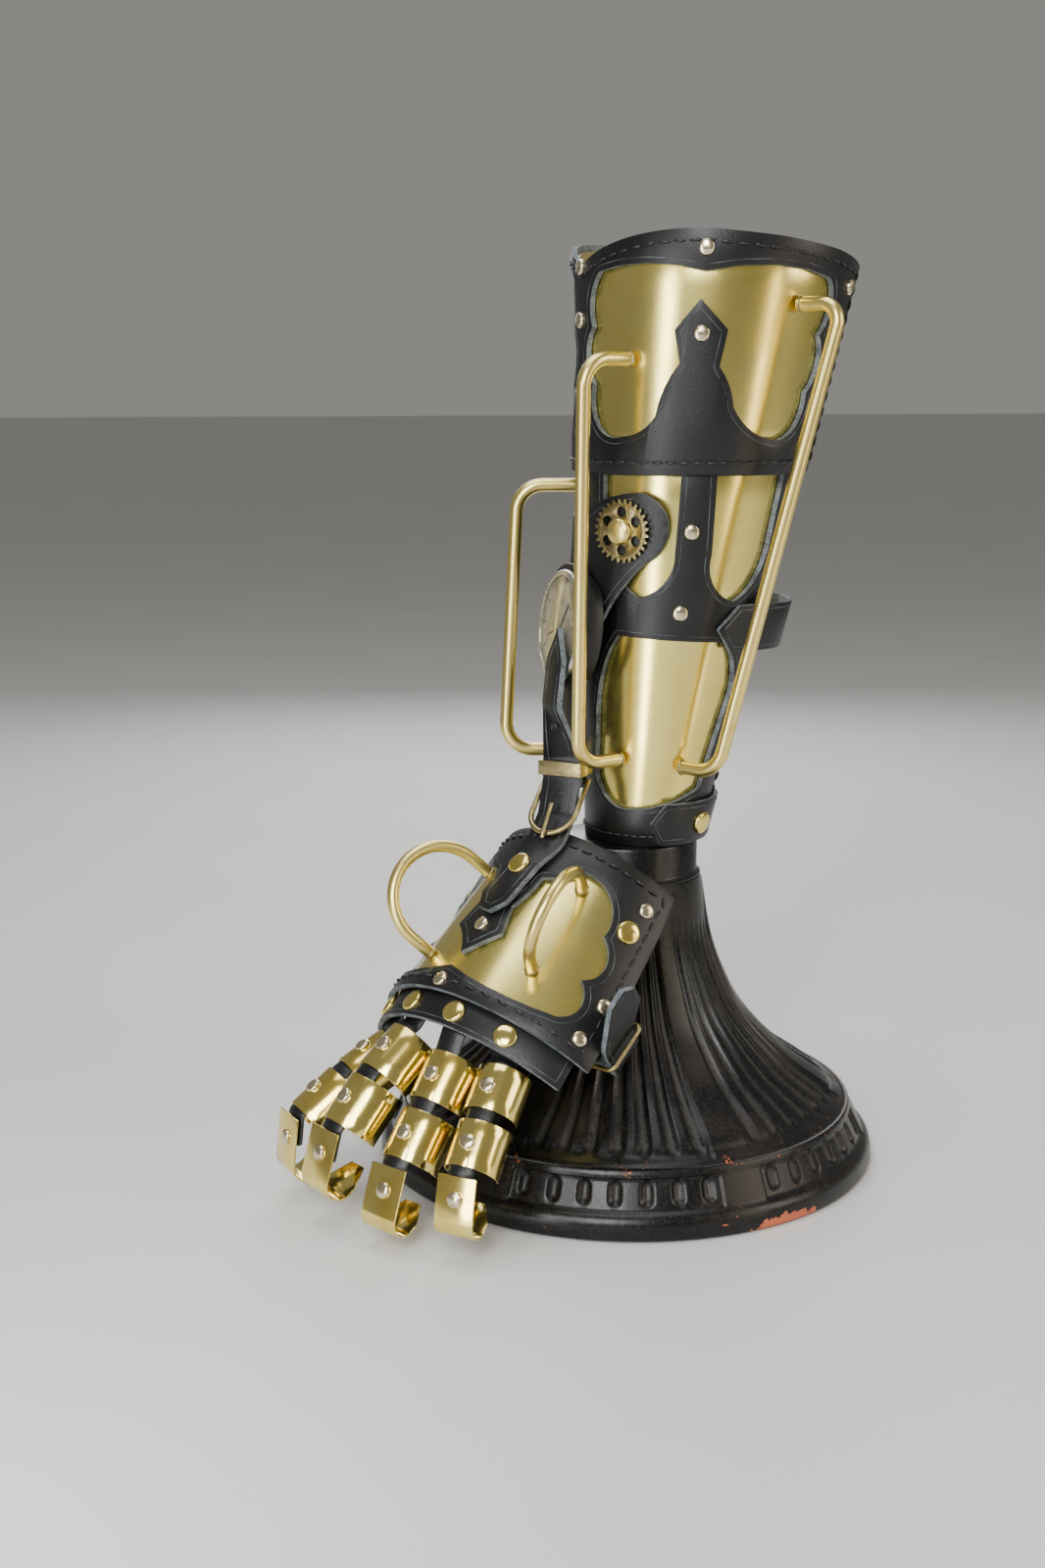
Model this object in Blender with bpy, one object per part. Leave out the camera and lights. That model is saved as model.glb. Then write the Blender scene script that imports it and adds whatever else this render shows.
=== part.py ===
# Articulated gauntlet of black leather and sheet brass, on its fluted display stand.
# Metres, +Z up. The origin is the middle of the stand's underside. The back of the arm faces -X
# and the side that the fingers splay towards is -Y.
import math

import bmesh
import bpy
from mathutils import Matrix, Vector

# Stock and clearances
GAP = 0.0003              # between pieces that touch
LEATHER = 0.0025          # leather wall
BRASS = 0.0008            # sheet brass
TUBE = 0.006              # brass tube, outside diameter
WIRE = 0.0026             # buckle wire
RIVET = 0.007             # small rivet cap, diameter
RIVET_RISE = 0.0018
STACK = GAP + LEATHER     # outer face of leather that lies on brass

# Stand
STAND_RADIUS = 0.1135     # outer edge of the foot
STAND_HEIGHT = 0.1477     # shoulder that the wrist end rests on
NECK_RADIUS = 0.0315
NECK_HEIGHT = 0.017
FLUTE_DEPTH = 0.0018
POST_RADIUS = 0.008       # plain post inside the sleeve
POST_HEIGHT = 0.182
STAND_PANELS = 6          # groups of flutes, with a plain rib between groups
FLUTES = 7                # in a group
RIB = math.radians(10)
RIB_TURN = math.radians(-85)

# Forearm sleeve: half sizes of the brass at the wrist and at the top, and the lean of its middle
WRIST_DEPTH, WRIST_WIDTH = 0.0227, 0.0270
ELBOW_DEPTH, ELBOW_WIDTH = 0.0586, 0.0579
WRIST_SHIFT, ELBOW_SHIFT = 0.0072, 0.0384
SLEEVE_HEIGHT = 0.2495    # wrist edge to the corners of the cuff
SLEEVE_WRAP = math.radians(148)   # half of the angle that the leather covers
PLATE_WRAP = math.radians(146)
SLEEVE_RADIUS = 0.042     # radius that the sleeve's flat pattern is drawn at
CUFF_RADIUS = 0.058       # radius that the cuff's flat pattern is drawn at
BAND_HEIGHT = 0.1705      # height of the lower leather
CUFF_DROP = 0.0075        # overlap of the cuff on the lower leather
CUFF_TUCK = 0.0015        # how far the cuff's top leans back to the sleeve
PLATE_INSET = 0.003
GUARD_BOTTOM = STAND_HEIGHT + GAP
CUFF_BOTTOM = BAND_HEIGHT - CUFF_DROP
CUFF_HEIGHT = SLEEVE_HEIGHT - CUFF_BOTTOM

# Tubes and wheels on the sleeve
TUBE_BEND = 0.012
GEAR_RADIUS, GEAR_THICK, GEAR_TEETH = 0.0136, 0.0015, 28
GEAR_ANGLE, GEAR_HEIGHT = math.radians(34.4), 0.139
GEAR_ROOT, GEAR_SPOKES, GEAR_RING, GEAR_HOLE = 0.88, 6, 0.60, 0.17   # shares of its radius
STUD_RADIUS, STUD_RISE = 0.0058, 0.0042

# Dial on the back of the wrist, and the leather that carries it
DIAL_RADIUS, DIAL_THICK, DIAL_HEIGHT = 0.025, 0.0050, 0.0955
DIAL_TILT = math.radians(6.5)
DIAL_WALL = 0.0028        # width of the bezel
DIAL_WALL_STEPS = 18      # of a GAP each, the deepest that the leather wall reaches
DIAL_RISE = 0.0092        # how far the carrier stands off the sleeve below the dial
CARRIER_RADIUS = 0.042
CARRIER_HALF = 0.0297     # half width of the carrier's flat pattern, at the gears
CARRIER_LOW, CARRIER_SPAN = 0.044, 0.113
CARRIER_BOTTOM = STACK + GAP
CARRIER_FLAT, CARRIER_FADE = math.radians(14), math.radians(52)   # where the rise runs out

# Buckled strap from the hand to the dial
STRAP_WIDTH = 0.0175
TAB_LEATHER = 0.0016      # skived leather of the folded tabs
KEEPER_HEIGHT = 0.0065
STRAP_OFFSET = 0.0085     # towards -Y
BUCKLE_WIDTH, BUCKLE_DROP = 0.0235, 0.0300
BUCKLE_HEIGHT = 0.0290    # of the bar above the wrist edge
BUCKLE_OUT = 0.0330       # of the bar from the stand's axis
BUCKLE_TURN, BUCKLE_TILT = math.radians(42), math.radians(45)
BUCKLE_HOLE = 0.55        # share of the drop where the prong goes through the strap
STRAP_DIAL_RUN = 1.35     # straight run below the dial's middle, in dial radii
STRAP_FEET = ((0.06, 0.22), (0.0, 0.54))   # shares across and along the hand guard

# Hand guard: a bent plate with its own frame
HAND_LENGTH = 0.089
HAND_RADIUS, KNUCKLE_RADIUS = 0.053, 0.069
HAND_WRAP, KNUCKLE_WRAP = math.radians(73), math.radians(64)
HAND_HEADING, HAND_SLOPE, HAND_ROLL = math.radians(25), math.radians(41), math.radians(-4)
HAND_OUT, HAND_SIDE, HAND_UP = 0.042, 0.011, 0.0063   # from the axis, to -Y, above the shoulder
HAND_ARC = 0.068          # half width of its flat pattern
HAND_BENDS = 12
KNUCKLE_BAND = 0.020
KNUCKLE_LAP, KNUCKLE_HALF = 0.35, 0.92   # share under the guard, and share of its width
HAND_PLATE_HALF = 0.96

# Fingers
RING_LENGTH, RING_RADIUS, RING_WRAP = 0.0215, 0.0125, math.radians(118)
RING_SPACE = 0.0052
FINGER_STRAP = 0.014
FINGER_GAP = 6 * GAP      # of a strap below the knuckle band
TIP_WIDTH, TIP_LENGTH, TIP_RADIUS, TIP_HOOK = 0.019, 0.020, 0.0062, 0.013
TIP_TURN = math.radians(140)
TIP_STRAP = 0.60          # share of the tip that the leather reaches

# Palm strap and its wire buckle
PALM_WIDTH, PALM_WIRE = 0.018, 0.0022
PALM_PLACE = 0.070        # of the buckle along the hand
PALM_FAR = 0.052          # of the strap's far end along the hand
PALM_OUT, PALM_DROP = 0.003, 0.008    # of the strap at its buckle, from the guard's edge
PALM_LEAN = (0.74, 0.60, 0.32)        # parts of up, back and out in the free end's direction
PALM_END = 0.025          # free end beyond the buckle
PALM_SAG = 0.011          # of the strap below the buckle
PALM_ARCH = 0.008         # of the middle of the strap towards the hand
PALM_LOOP = 0.015         # of the buckle, across
PALM_ROOT = (0.70, 0.85)  # shares across the guard that its riveted end spans
PALM_TAB_ROOT = (0.70, 0.82)

BEND_STEP = math.radians(15)
ARC_STEP = math.radians(30)

# Rows of an outline: across and along as shares of the pattern, then the bulge of the arc that
# follows the point (the tangent of a quarter of its sweep, 0 for a straight edge).
CUFF_WINDOW = (
    # across, along, bulge
    (0.070, 0.705, 0.45), (0.077, 0.432, 0.62), (0.216, 0.180, 0.25), (0.316, 0.275, -0.13),
    (0.375, 0.527, 0.0), (0.352, 0.680, 0.0), (0.414, 0.823, 0.0), (0.497, 0.680, 0.0),
    (0.487, 0.510, -0.13), (0.545, 0.320, 0.25), (0.713, 0.162, 0.50), (0.800, 0.390, 0.45),
    (0.800, 0.660, 0.45), (0.790, 0.930, 0.12), (0.419, 0.952, 0.12), (0.100, 0.965, 0.35),
)
CUFF_TOP = (
    (-1.0, 0.0, 0.0), (1.0, 0.0, 0.0), (1.0, 1.0, 0.03), (0.42, 1.145, 0.12), (0.0, 1.0, 0.12),
    (-0.42, 1.145, 0.03), (-1.0, 1.0, 0.0),
)
UPPER_BACK_WINDOW = (
    (0.115, 0.952, 0.0), (0.115, 0.800, 0.22), (0.289, 0.648, 0.42), (0.422, 0.757, 0.0),
    (0.414, 0.952, 0.0),
)
UPPER_FRONT_WINDOW = (
    (0.534, 0.952, 0.0), (0.561, 0.757, 0.40), (0.696, 0.637, 0.30), (0.838, 0.762, 0.0),
    (0.818, 0.952, 0.0),
)
LOWER_WINDOW = (
    (0.078, 0.360, 0.0), (0.064, 0.175, 0.25), (0.300, 0.096, 0.08), (0.757, 0.150, 0.0),
    (0.838, 0.410, 0.18), (0.701, 0.533, 0.0), (0.206, 0.549, 0.14),
)
HAND_HALF_WINDOW = (
    (0.000, 0.780, 0.0), (0.180, 0.625, 0.0), (0.130, 0.470, -0.10), (0.200, 0.270, -0.20),
    (0.400, 0.160, 0.55), (0.707, 0.399, 0.55), (0.719, 0.648, 0.55), (0.700, 0.870, 0.16),
)
HAND_WINDOW_FOOT = (0.000, 0.860, 0.16)
# The carrier's near arm ends round the gear; its far arm lies further round the sleeve
CARRIER_OUTLINE = (
    # across, along, bulge
    (0.340, 0.000, 0.0), (0.570, 0.350, -0.18), (1.150, 0.715, 0.68), (1.012, 0.985, 0.08),
    (0.480, 0.950, 0.0), (0.000, 0.870, 0.0), (-0.480, 0.880, 0.0), (-1.200, 0.940, 0.60),
    (-1.430, 0.690, -0.18), (-0.570, 0.350, 0.0), (-0.340, 0.000, 0.0),
)

# Tubes on the sleeve: side (1 is towards -Y), foot angles and heights above the wrist edge at
# the top and at the bottom, the way they stand out, and how far
TUBES = (
    # name, side, top angle, top height, low angle, low height, direction, top reach, low reach
    ("tube_back_near", 1, 33.0, 0.2105, 36.4, 0.0385, 16.0, 0.0260, 0.0250),
    ("tube_side_near", 1, 103.4, 0.2325, 85.3, 0.0360, 118.0, 0.0225, 0.0220),
    ("tube_back_far", -1, 33.0, 0.1560, 34.0, 0.0370, 16.0, 0.0310, 0.0390),
    ("tube_side_far", -1, 103.4, 0.2325, 85.3, 0.0360, 118.0, 0.0225, 0.0220),
)
# Straps across the open palm side of the sleeve
SLEEVE_STRAPS = (
    # name, height above the wrist edge, angle of the point, width, slack off the sleeve
    ("forearm_strap", 0.0968, math.radians(94.0), 0.0205, 0.0090),
    ("wrist_strap", 0.0105, math.radians(67.4), 0.0185, 0.0),
)
STRAP_SWELL = math.radians(40)    # angle over which the slack comes in
# Loops on the hand: name, place across, start and end along, height
LOOPS = (
    ("hand_loop_near", 0.45, 0.235, 0.720, 0.034),
    ("hand_loop_far", -0.33, 0.275, 0.790, 0.0375),
)
# Fingers: place on the knuckle arc and heading in degrees, scale, length from the root to the
# middle of the first ring, and the slope of each stretch
FINGERS = (
    # name, arc angle, heading, scale, lead, then the slopes of root, first ring, second, tip
    ("index", -35.5, 8, 1.05, 0.0225, 44, 28, 36, 84),
    ("middle", -12, 18, 1.04, 0.0235, 40, 38, 48, 74),
    ("third", 11, 30, 1.00, 0.0275, 54, 50, 51, 70),
    ("little", 33, 42, 0.93, 0.0225, 46, 46, 50, 78),
)
# Flared outline of the stand: radius and height as shares of the foot and of the flare
STAND_PROFILE = (
    # radius, height, fluted share
    (0.985, 0.000, 0.0), (1.000, 0.024, 0.0), (0.996, 0.062, 0.0), (0.965, 0.088, 0.9),
    (0.915, 0.180, 0.9), (0.893, 0.212, 0.0), (0.800, 0.272, 1.0),
    (0.640, 0.370, 1.0), (0.478, 0.520, 1.0), (0.400, 0.640, 1.0),
    (0.338, 0.790, 0.8), (0.296, 1.000, 0.0),
)

FINISHES = {
    # name: colour, roughness, metallic
    "leather": ((0.012, 0.013, 0.015, 1.0), 0.42, 0.0),
    "brass": ((0.80, 0.62, 0.26, 1.0), 0.28, 1.0),
    "polished_brass": ((0.87, 0.66, 0.25, 1.0), 0.12, 1.0),
    "tube_brass": ((0.78, 0.60, 0.30, 1.0), 0.32, 1.0),
    "antique_brass": ((0.42, 0.33, 0.16, 1.0), 0.38, 1.0),
    "rivet_brass": ((0.78, 0.70, 0.48, 1.0), 0.22, 1.0),
    "silver": ((0.70, 0.70, 0.69, 1.0), 0.25, 1.0),
    "dial_face": ((0.50, 0.42, 0.24, 1.0), 0.45, 0.3),
    "bronze": ((0.020, 0.018, 0.017, 1.0), 0.38, 0.6),
}

parts = bpy.data.collections.new("articulated_gauntlet")
cutters = bpy.data.collections.new("cutters")


def clear_scene():
    for old in list(bpy.data.objects):
        bpy.data.objects.remove(old, do_unlink=True)
    bpy.context.scene.collection.children.link(parts)
    bpy.context.scene.collection.children.link(cutters)


def finish(name):
    material = bpy.data.materials.get(name)
    if material is None:
        colour, roughness, metallic = FINISHES[name]
        material = bpy.data.materials.new(name)
        material.use_nodes = True
        shader = material.node_tree.nodes["Principled BSDF"]
        shader.inputs["Base Color"].default_value = colour
        shader.inputs["Roughness"].default_value = roughness
        shader.inputs["Metallic"].default_value = metallic
        material.diffuse_color = colour
    return material


def add_mesh(name, shape, material):
    """Make an object of a finished bmesh, with outward faces and smooth rounds."""
    bmesh.ops.recalc_face_normals(shape, faces=shape.faces)
    if shape.calc_volume(signed=True) < 0:
        bmesh.ops.reverse_faces(shape, faces=shape.faces)
    mesh = bpy.data.meshes.new(name)
    shape.to_mesh(mesh)
    shape.free()
    mesh.materials.append(finish(material))
    mesh.shade_smooth()
    mesh.set_sharp_from_angle(angle=math.radians(32))
    thing = bpy.data.objects.new(name, mesh)
    parts.objects.link(thing)
    return thing


def as_mesh(thing):
    """Replace a curve object by its mesh, with the caps welded on."""
    bpy.context.view_layer.update()
    evaluated = thing.evaluated_get(bpy.context.evaluated_depsgraph_get())
    mesh = bpy.data.meshes.new_from_object(evaluated)
    shape = bmesh.new()
    shape.from_mesh(mesh)
    shape.transform(thing.matrix_world)
    bmesh.ops.remove_doubles(shape, verts=shape.verts, dist=0.000002)
    bpy.data.objects.remove(thing, do_unlink=True)
    bpy.data.meshes.remove(mesh)
    return shape


def join(first, second):
    """Union of two solids, kept under the first one's name."""
    union = first.modifiers.new("union", "BOOLEAN")
    union.operation = "UNION"
    union.solver = "EXACT"
    union.object = second
    bpy.context.view_layer.update()
    evaluated = first.evaluated_get(bpy.context.evaluated_depsgraph_get())
    mesh = bpy.data.meshes.new_from_object(evaluated)
    first.modifiers.clear()
    first.data = mesh
    bpy.data.objects.remove(second, do_unlink=True)
    return first


# Outlines
def mirrored(rows):
    """The same outline on the other side, run the other way so that its arcs still match."""
    flipped = []
    for index in range(len(rows) - 1, -1, -1):
        bulge = rows[index - 1][2]
        flipped.append((-rows[index][0], rows[index][1], bulge))
    return flipped


def drawn(rows, width, height):
    """Points of an outline whose rows hold shares of a width and a height, with its arcs."""
    points = []
    for index, (across, along, bulge) in enumerate(rows):
        start = Vector((across * width, along * height))
        after = rows[(index + 1) % len(rows)]
        end = Vector((after[0] * width, after[1] * height))
        points.append(start)
        if bulge:
            sweep = 4 * math.atan(bulge)
            chord = end - start
            normal = Vector((chord.y, -chord.x))
            centre = (start + end) / 2 - normal * (1 - bulge * bulge) / (4 * bulge)
            count = max(2, round(abs(sweep) / ARC_STEP))
            for step in range(1, count):
                turn = Matrix.Rotation(sweep * step / count, 2)
                points.append(centre + turn @ (start - centre))
    return points


def flat_sheet(outline, holes=()):
    """A flat sheet with holes, one unit thick, from a filled 2D curve."""
    curve = bpy.data.curves.new("pattern", "CURVE")
    curve.dimensions = "2D"
    curve.fill_mode = "BOTH"
    curve.extrude = 0.5
    for ring in (outline, *holes):
        spline = curve.splines.new("POLY")
        spline.points.add(len(ring) - 1)
        for point, corner in zip(spline.points, ring):
            point.co = (corner[0], corner[1], 0.0, 1.0)
        spline.use_cyclic_u = True
    thing = bpy.data.objects.new("pattern", curve)
    parts.objects.link(thing)
    return as_mesh(thing)


def crease(shape, axis, places):
    """Cut the flat sheet along lines where it will bend, and clean the faces between them."""
    normal = Vector((1, 0, 0)) if axis == 0 else Vector((0, 1, 0))
    for place in places:
        whole = shape.verts[:] + shape.edges[:] + shape.faces[:]
        cut = bmesh.ops.bisect_plane(shape, geom=whole, dist=0.0000005,
                                     plane_co=normal * place, plane_no=normal)
        for item in cut["geom_cut"]:
            if isinstance(item, bmesh.types.BMEdge):
                item.seam = True


def bracket(lines, value):
    """The two bend lines on either side of a value, and its share of the way between them."""
    index = 0
    while index < len(lines) - 2 and value > lines[index + 1]:
        index += 1
    low, high = lines[index], lines[index + 1]
    return low, high, (value - low) / (high - low)


def folded(place, across):
    """The same surface made of flat strips between the bend lines, one more on each side."""
    lines = [2 * across[0] - across[1], *across, 2 * across[-1] - across[-2]]

    def strip(x, y, lift):
        low, high, share = bracket(lines, x)
        return place(low, y, lift).lerp(place(high, y, lift), share)

    return strip


def bent_sheet(name, outline, place, inner, outer, material, holes=(), across=(), along=()):
    """A sheet cut flat and then bent: place(x, y, lift) gives a point of the surface."""
    if len(across) > 1:
        place = folded(place, across)
    shape = flat_sheet(outline, holes)
    crease(shape, 0, across)
    crease(shape, 1, along)
    bmesh.ops.dissolve_limit(shape, angle_limit=math.radians(0.2), verts=shape.verts,
                             edges=shape.edges, delimit={"SEAM"})
    bmesh.ops.triangulate(shape, faces=shape.faces)
    for vert in shape.verts:
        lift = outer if vert.co.z > 0 else inner
        vert.co = place(vert.co.x, vert.co.y, lift)
    return add_mesh(name, shape, material)


def steps(low, high, size):
    """Bend lines spread evenly between two edges, about one size apart."""
    count = max(1, round((high - low) / size))
    return [low + (high - low) * index / count for index in range(1, count)]


# Paths that tubes and straps follow
def rounded(points, radius, pieces=4):
    """A polyline with its corners turned into arcs of the given radius."""
    result = [points[0].copy()]
    for before, corner, after in zip(points, points[1:], points[2:]):
        back = (before - corner).normalized()
        ahead = (after - corner).normalized()
        half = back.angle(ahead) / 2
        if half > math.radians(88.5):
            result.append(corner.copy())
            continue
        room = 0.48 * min((before - corner).length, (after - corner).length)
        reach = min(radius / math.tan(half), room)
        size = reach * math.tan(half)
        centre = corner + (back + ahead).normalized() * (size / math.sin(half))
        start = corner + back * reach - centre
        end = corner + ahead * reach - centre
        sweep = start.angle(end)
        count = max(2, math.ceil(sweep / math.radians(90) * pieces))
        for step in range(count + 1):
            share = step / count
            weight = math.sin((1 - share) * sweep) * start + math.sin(share * sweep) * end
            result.append(centre + weight / math.sin(sweep))
    result.append(points[-1].copy())
    return result


class Path:
    """A route with a sideways direction at each point, read by its length."""

    def __init__(self, points, sides):
        self.points = points
        self.marks = [0.0]
        for first, second in zip(points, points[1:]):
            self.marks.append(self.marks[-1] + (second - first).length)
        self.sides, self.normals = [], []
        for index, point in enumerate(points):
            before = points[max(index - 1, 0)]
            after = points[min(index + 1, len(points) - 1)]
            ahead = ((point - before).normalized() + (after - point).normalized()).normalized()
            side = sides(self.marks[index] / self.marks[-1])
            side = (side - ahead * side.dot(ahead)).normalized()
            self.sides.append(side)
            self.normals.append(ahead.cross(side))
        self.length = self.marks[-1]

    def at(self, across, along, lift):
        low, _, share = bracket(self.marks, along)
        index = self.marks.index(low)
        point = self.points[index].lerp(self.points[index + 1], share)
        side = self.sides[index].lerp(self.sides[index + 1], share)
        normal = self.normals[index].lerp(self.normals[index + 1], share)
        return point + side * across + normal * lift


def tube(name, points, diameter, material, closed=False, resolution=2):
    curve = bpy.data.curves.new(name, "CURVE")
    curve.dimensions = "3D"
    curve.bevel_depth = diameter / 2
    curve.bevel_resolution = resolution
    curve.use_fill_caps = not closed
    spline = curve.splines.new("POLY")
    spline.points.add(len(points) - 1)
    for point, place in zip(spline.points, points):
        point.co = (*place, 1.0)
    spline.use_cyclic_u = closed
    thing = bpy.data.objects.new(name, curve)
    parts.objects.link(thing)
    return add_mesh(name, as_mesh(thing), material)


def turned(name, profile, sides, place, material):
    """A body turned round its own +Z from a profile of radii and heights, then placed."""
    shape = bmesh.new()
    verts = [shape.verts.new((radius, 0.0, height)) for radius, height in profile]
    edges = [shape.edges.new(pair) for pair in zip(verts, verts[1:])]
    bmesh.ops.spin(shape, geom=verts + edges, axis=(0, 0, 1), cent=(0, 0, 0),
                   angle=math.tau, steps=sides, use_duplicate=False)
    bmesh.ops.remove_doubles(shape, verts=shape.verts, dist=0.000002)
    shape.transform(place)
    return add_mesh(name, shape, material)


def dome(name, radius, rise, place, material, sides=12):
    """A low domed cap that stands on the plane of its placement."""
    edge = rise * 0.25
    profile = [(0.0, 0.0), (radius * 0.94, 0.0), (radius, edge), (radius * 0.72, rise * 0.78),
               (0.0, rise)]
    return turned(name, profile, sides, place, material)


def standing(point, normal, side):
    """A placement whose +Z is a surface normal and whose +X runs along the side."""
    across = (side - normal * side.dot(normal)).normalized()
    frame = Matrix((across, normal.cross(across), normal)).transposed().to_4x4()
    frame.translation = point
    return frame


# The sleeve's surface
def sleeve(angle, height, lift):
    """A point on the forearm: angle from the back towards -Y, height above the wrist edge."""
    share = height / SLEEVE_HEIGHT
    middle = WRIST_SHIFT + (ELBOW_SHIFT - WRIST_SHIFT) * share
    depth = WRIST_DEPTH + (ELBOW_DEPTH - WRIST_DEPTH) * share + lift
    width = WRIST_WIDTH + (ELBOW_WIDTH - WRIST_WIDTH) * share + lift
    return Vector((middle - depth * math.cos(angle), -width * math.sin(angle),
                   GUARD_BOTTOM + height))


def sleeve_normal(angle, height):
    around = sleeve(angle + 0.01, height, 0) - sleeve(angle - 0.01, height, 0)
    upward = sleeve(angle, height + 0.001, 0) - sleeve(angle, height - 0.001, 0)
    return upward.cross(around).normalized() * -1


def cuff_surface(angle, height, lift):
    """The cuff lies on the lower leather, and its top leans back to the sleeve."""
    share = (height - CUFF_BOTTOM) / CUFF_HEIGHT
    return sleeve(angle, height, lift - CUFF_TUCK * share)


def build_sleeve():
    lower = SLEEVE_RADIUS
    half = SLEEVE_WRAP * lower
    bends = steps(-half, half, BEND_STEP * lower)

    def on_sleeve(x, y, lift):
        return sleeve(x / lower, y, lift)

    windows = []
    for rows in (UPPER_BACK_WINDOW, UPPER_FRONT_WINDOW, LOWER_WINDOW):
        windows.append(drawn(rows, half, BAND_HEIGHT))
        windows.append(drawn(mirrored(rows), half, BAND_HEIGHT))
    edge = [(-half, 0), (half, 0), (half, BAND_HEIGHT), (-half, BAND_HEIGHT)]
    bent_sheet("forearm_leather", edge, on_sleeve, GAP, GAP + LEATHER, "leather",
               holes=windows, across=bends)
    plate = PLATE_WRAP * lower
    top = BAND_HEIGHT
    edge = [(-plate, PLATE_INSET), (plate, PLATE_INSET), (plate, top), (-plate, top)]
    bent_sheet("forearm_plate", edge, on_sleeve, -BRASS, 0.0, "brass", across=bends)


def build_cuff():
    half = SLEEVE_WRAP * CUFF_RADIUS
    bends = steps(-half, half, BEND_STEP * CUFF_RADIUS)

    def on_cuff(x, y, lift):
        return cuff_surface(x / CUFF_RADIUS, CUFF_BOTTOM + y, lift)

    windows = [drawn(CUFF_WINDOW, half, CUFF_HEIGHT),
               drawn(mirrored(CUFF_WINDOW), half, CUFF_HEIGHT)]
    bent_sheet("cuff_leather", drawn(CUFF_TOP, half, CUFF_HEIGHT), on_cuff, STACK + GAP,
               STACK + GAP + LEATHER, "leather", holes=windows, across=bends)
    plate = PLATE_WRAP * CUFF_RADIUS
    low = (CUFF_DROP + PLATE_INSET) / CUFF_HEIGHT
    inset = PLATE_INSET / CUFF_HEIGHT
    rows = [(across, max(low, along - inset), bulge) for across, along, bulge in CUFF_TOP]
    bent_sheet("cuff_plate", drawn(rows, plate, CUFF_HEIGHT), on_cuff, STACK - BRASS, STACK,
               "brass", across=bends)


def bridging_strap(name, height, tip, width, slack):
    """A strap that bridges the open palm side, pointed where it lies on the leather."""
    radius = SLEEVE_RADIUS
    reach = (math.pi - tip) * radius
    shoulder = reach - width * 0.45
    half = width / 2

    def around(x, y, lift):
        off = ramp(-abs(x), -shoulder, STRAP_SWELL * radius - shoulder)
        return sleeve(math.pi + x / radius, height + y, lift + slack * off * off * (3 - 2 * off))

    edge = [(-reach, 0), (-shoulder, -half), (shoulder, -half), (reach, 0), (shoulder, half),
            (-shoulder, half)]
    bent_sheet(name, edge, around, STACK + GAP, STACK + GAP + LEATHER, "leather",
               across=steps(-shoulder, shoulder, BEND_STEP * 0.8 * radius))


def build_sleeve_straps():
    for row in SLEEVE_STRAPS:
        bridging_strap(*row)


def build_tubes():
    for name, side, top_angle, top, low_angle, low, direction, top_reach, low_reach in TUBES:
        points = []
        for angle, height, reach in ((top_angle, top, top_reach), (low_angle, low, low_reach)):
            turn = side * math.radians(angle)
            on_cuff = height > BAND_HEIGHT
            surface = cuff_surface if on_cuff else sleeve
            seat = STACK if on_cuff else 0.0
            out = side * math.radians(direction)
            way = Vector((-math.cos(out), -math.sin(out), 0.0))
            lean = way.angle(sleeve_normal(turn, height))
            foot = surface(turn, height, seat) + way * (GAP / math.cos(lean)
                                                        + TUBE / 2 * math.tan(lean))
            outer = surface(turn, height, seat) + way * reach
            points += [foot, outer] if reach == top_reach and not points else [outer, foot]
        tube(name, rounded(points, TUBE_BEND), TUBE, "tube_brass")


def gear_outline(radius):
    root = radius * GEAR_ROOT
    points = []
    for tooth in range(GEAR_TEETH):
        for share, reach in ((0.0, root), (0.28, radius), (0.56, radius)):
            angle = math.tau * (tooth + share) / GEAR_TEETH
            points.append((reach * math.cos(angle), reach * math.sin(angle)))
    return points


def ramp(value, start, end):
    return min(max((value - start) / (end - start), 0.0), 1.0)


def circle(radius, centre=(0.0, 0.0), count=8):
    return [(centre[0] + radius * math.cos(math.tau * index / count),
             centre[1] + radius * math.sin(math.tau * index / count)) for index in range(count)]


def build_gear():
    lift = CARRIER_BOTTOM + LEATHER
    turn = GEAR_RADIUS / ELBOW_DEPTH
    upward = (carrier_surface(GEAR_ANGLE, GEAR_HEIGHT + GEAR_RADIUS, lift)
              - carrier_surface(GEAR_ANGLE, GEAR_HEIGHT - GEAR_RADIUS, lift))
    around = (carrier_surface(GEAR_ANGLE + turn, GEAR_HEIGHT, lift)
              - carrier_surface(GEAR_ANGLE - turn, GEAR_HEIGHT, lift))
    normal = around.cross(upward).normalized()
    normal = normal if normal.x < 0 else -normal
    middle = carrier_surface(GEAR_ANGLE, GEAR_HEIGHT, lift)
    seat = raised_seat(middle, normal, GEAR_ANGLE, GEAR_HEIGHT, GEAR_RADIUS)
    frame = standing(seat, normal, Vector((0, 0, 1)))
    ring = GEAR_RADIUS * GEAR_RING
    holes = [circle(GEAR_RADIUS * GEAR_HOLE, (ring * math.cos(turn), ring * math.sin(turn)))
             for turn in (math.tau * index / GEAR_SPOKES for index in range(GEAR_SPOKES))]

    def on_gear(x, y, lift):
        return frame @ Vector((x, y, lift))

    bent_sheet("gear", gear_outline(GEAR_RADIUS), on_gear, 0.0, GEAR_THICK, "antique_brass",
               holes=holes)
    above = standing(seat + normal * (GEAR_THICK + GAP), normal, Vector((0, 0, 1)))
    dome("gear_stud", STUD_RADIUS, STUD_RISE, above, "antique_brass", sides=16)


# The carrier and the dial


def carrier_surface(angle, height, lift):
    """The sleeve's surface, raised towards the buckle to carry the dial on the back line."""
    fall = ramp(-height, -GEAR_HEIGHT - GEAR_RADIUS * 0.4, -GEAR_HEIGHT + DIAL_RADIUS * 2.9)
    fade = ramp(abs(angle), CARRIER_FLAT, CARRIER_FADE)
    rise = DIAL_RISE * fall * fall * (3 - 2 * fall) * (1 - fade * fade * (3 - 2 * fade))
    return sleeve(angle, height, lift) - Vector((rise, 0, 0))


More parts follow.
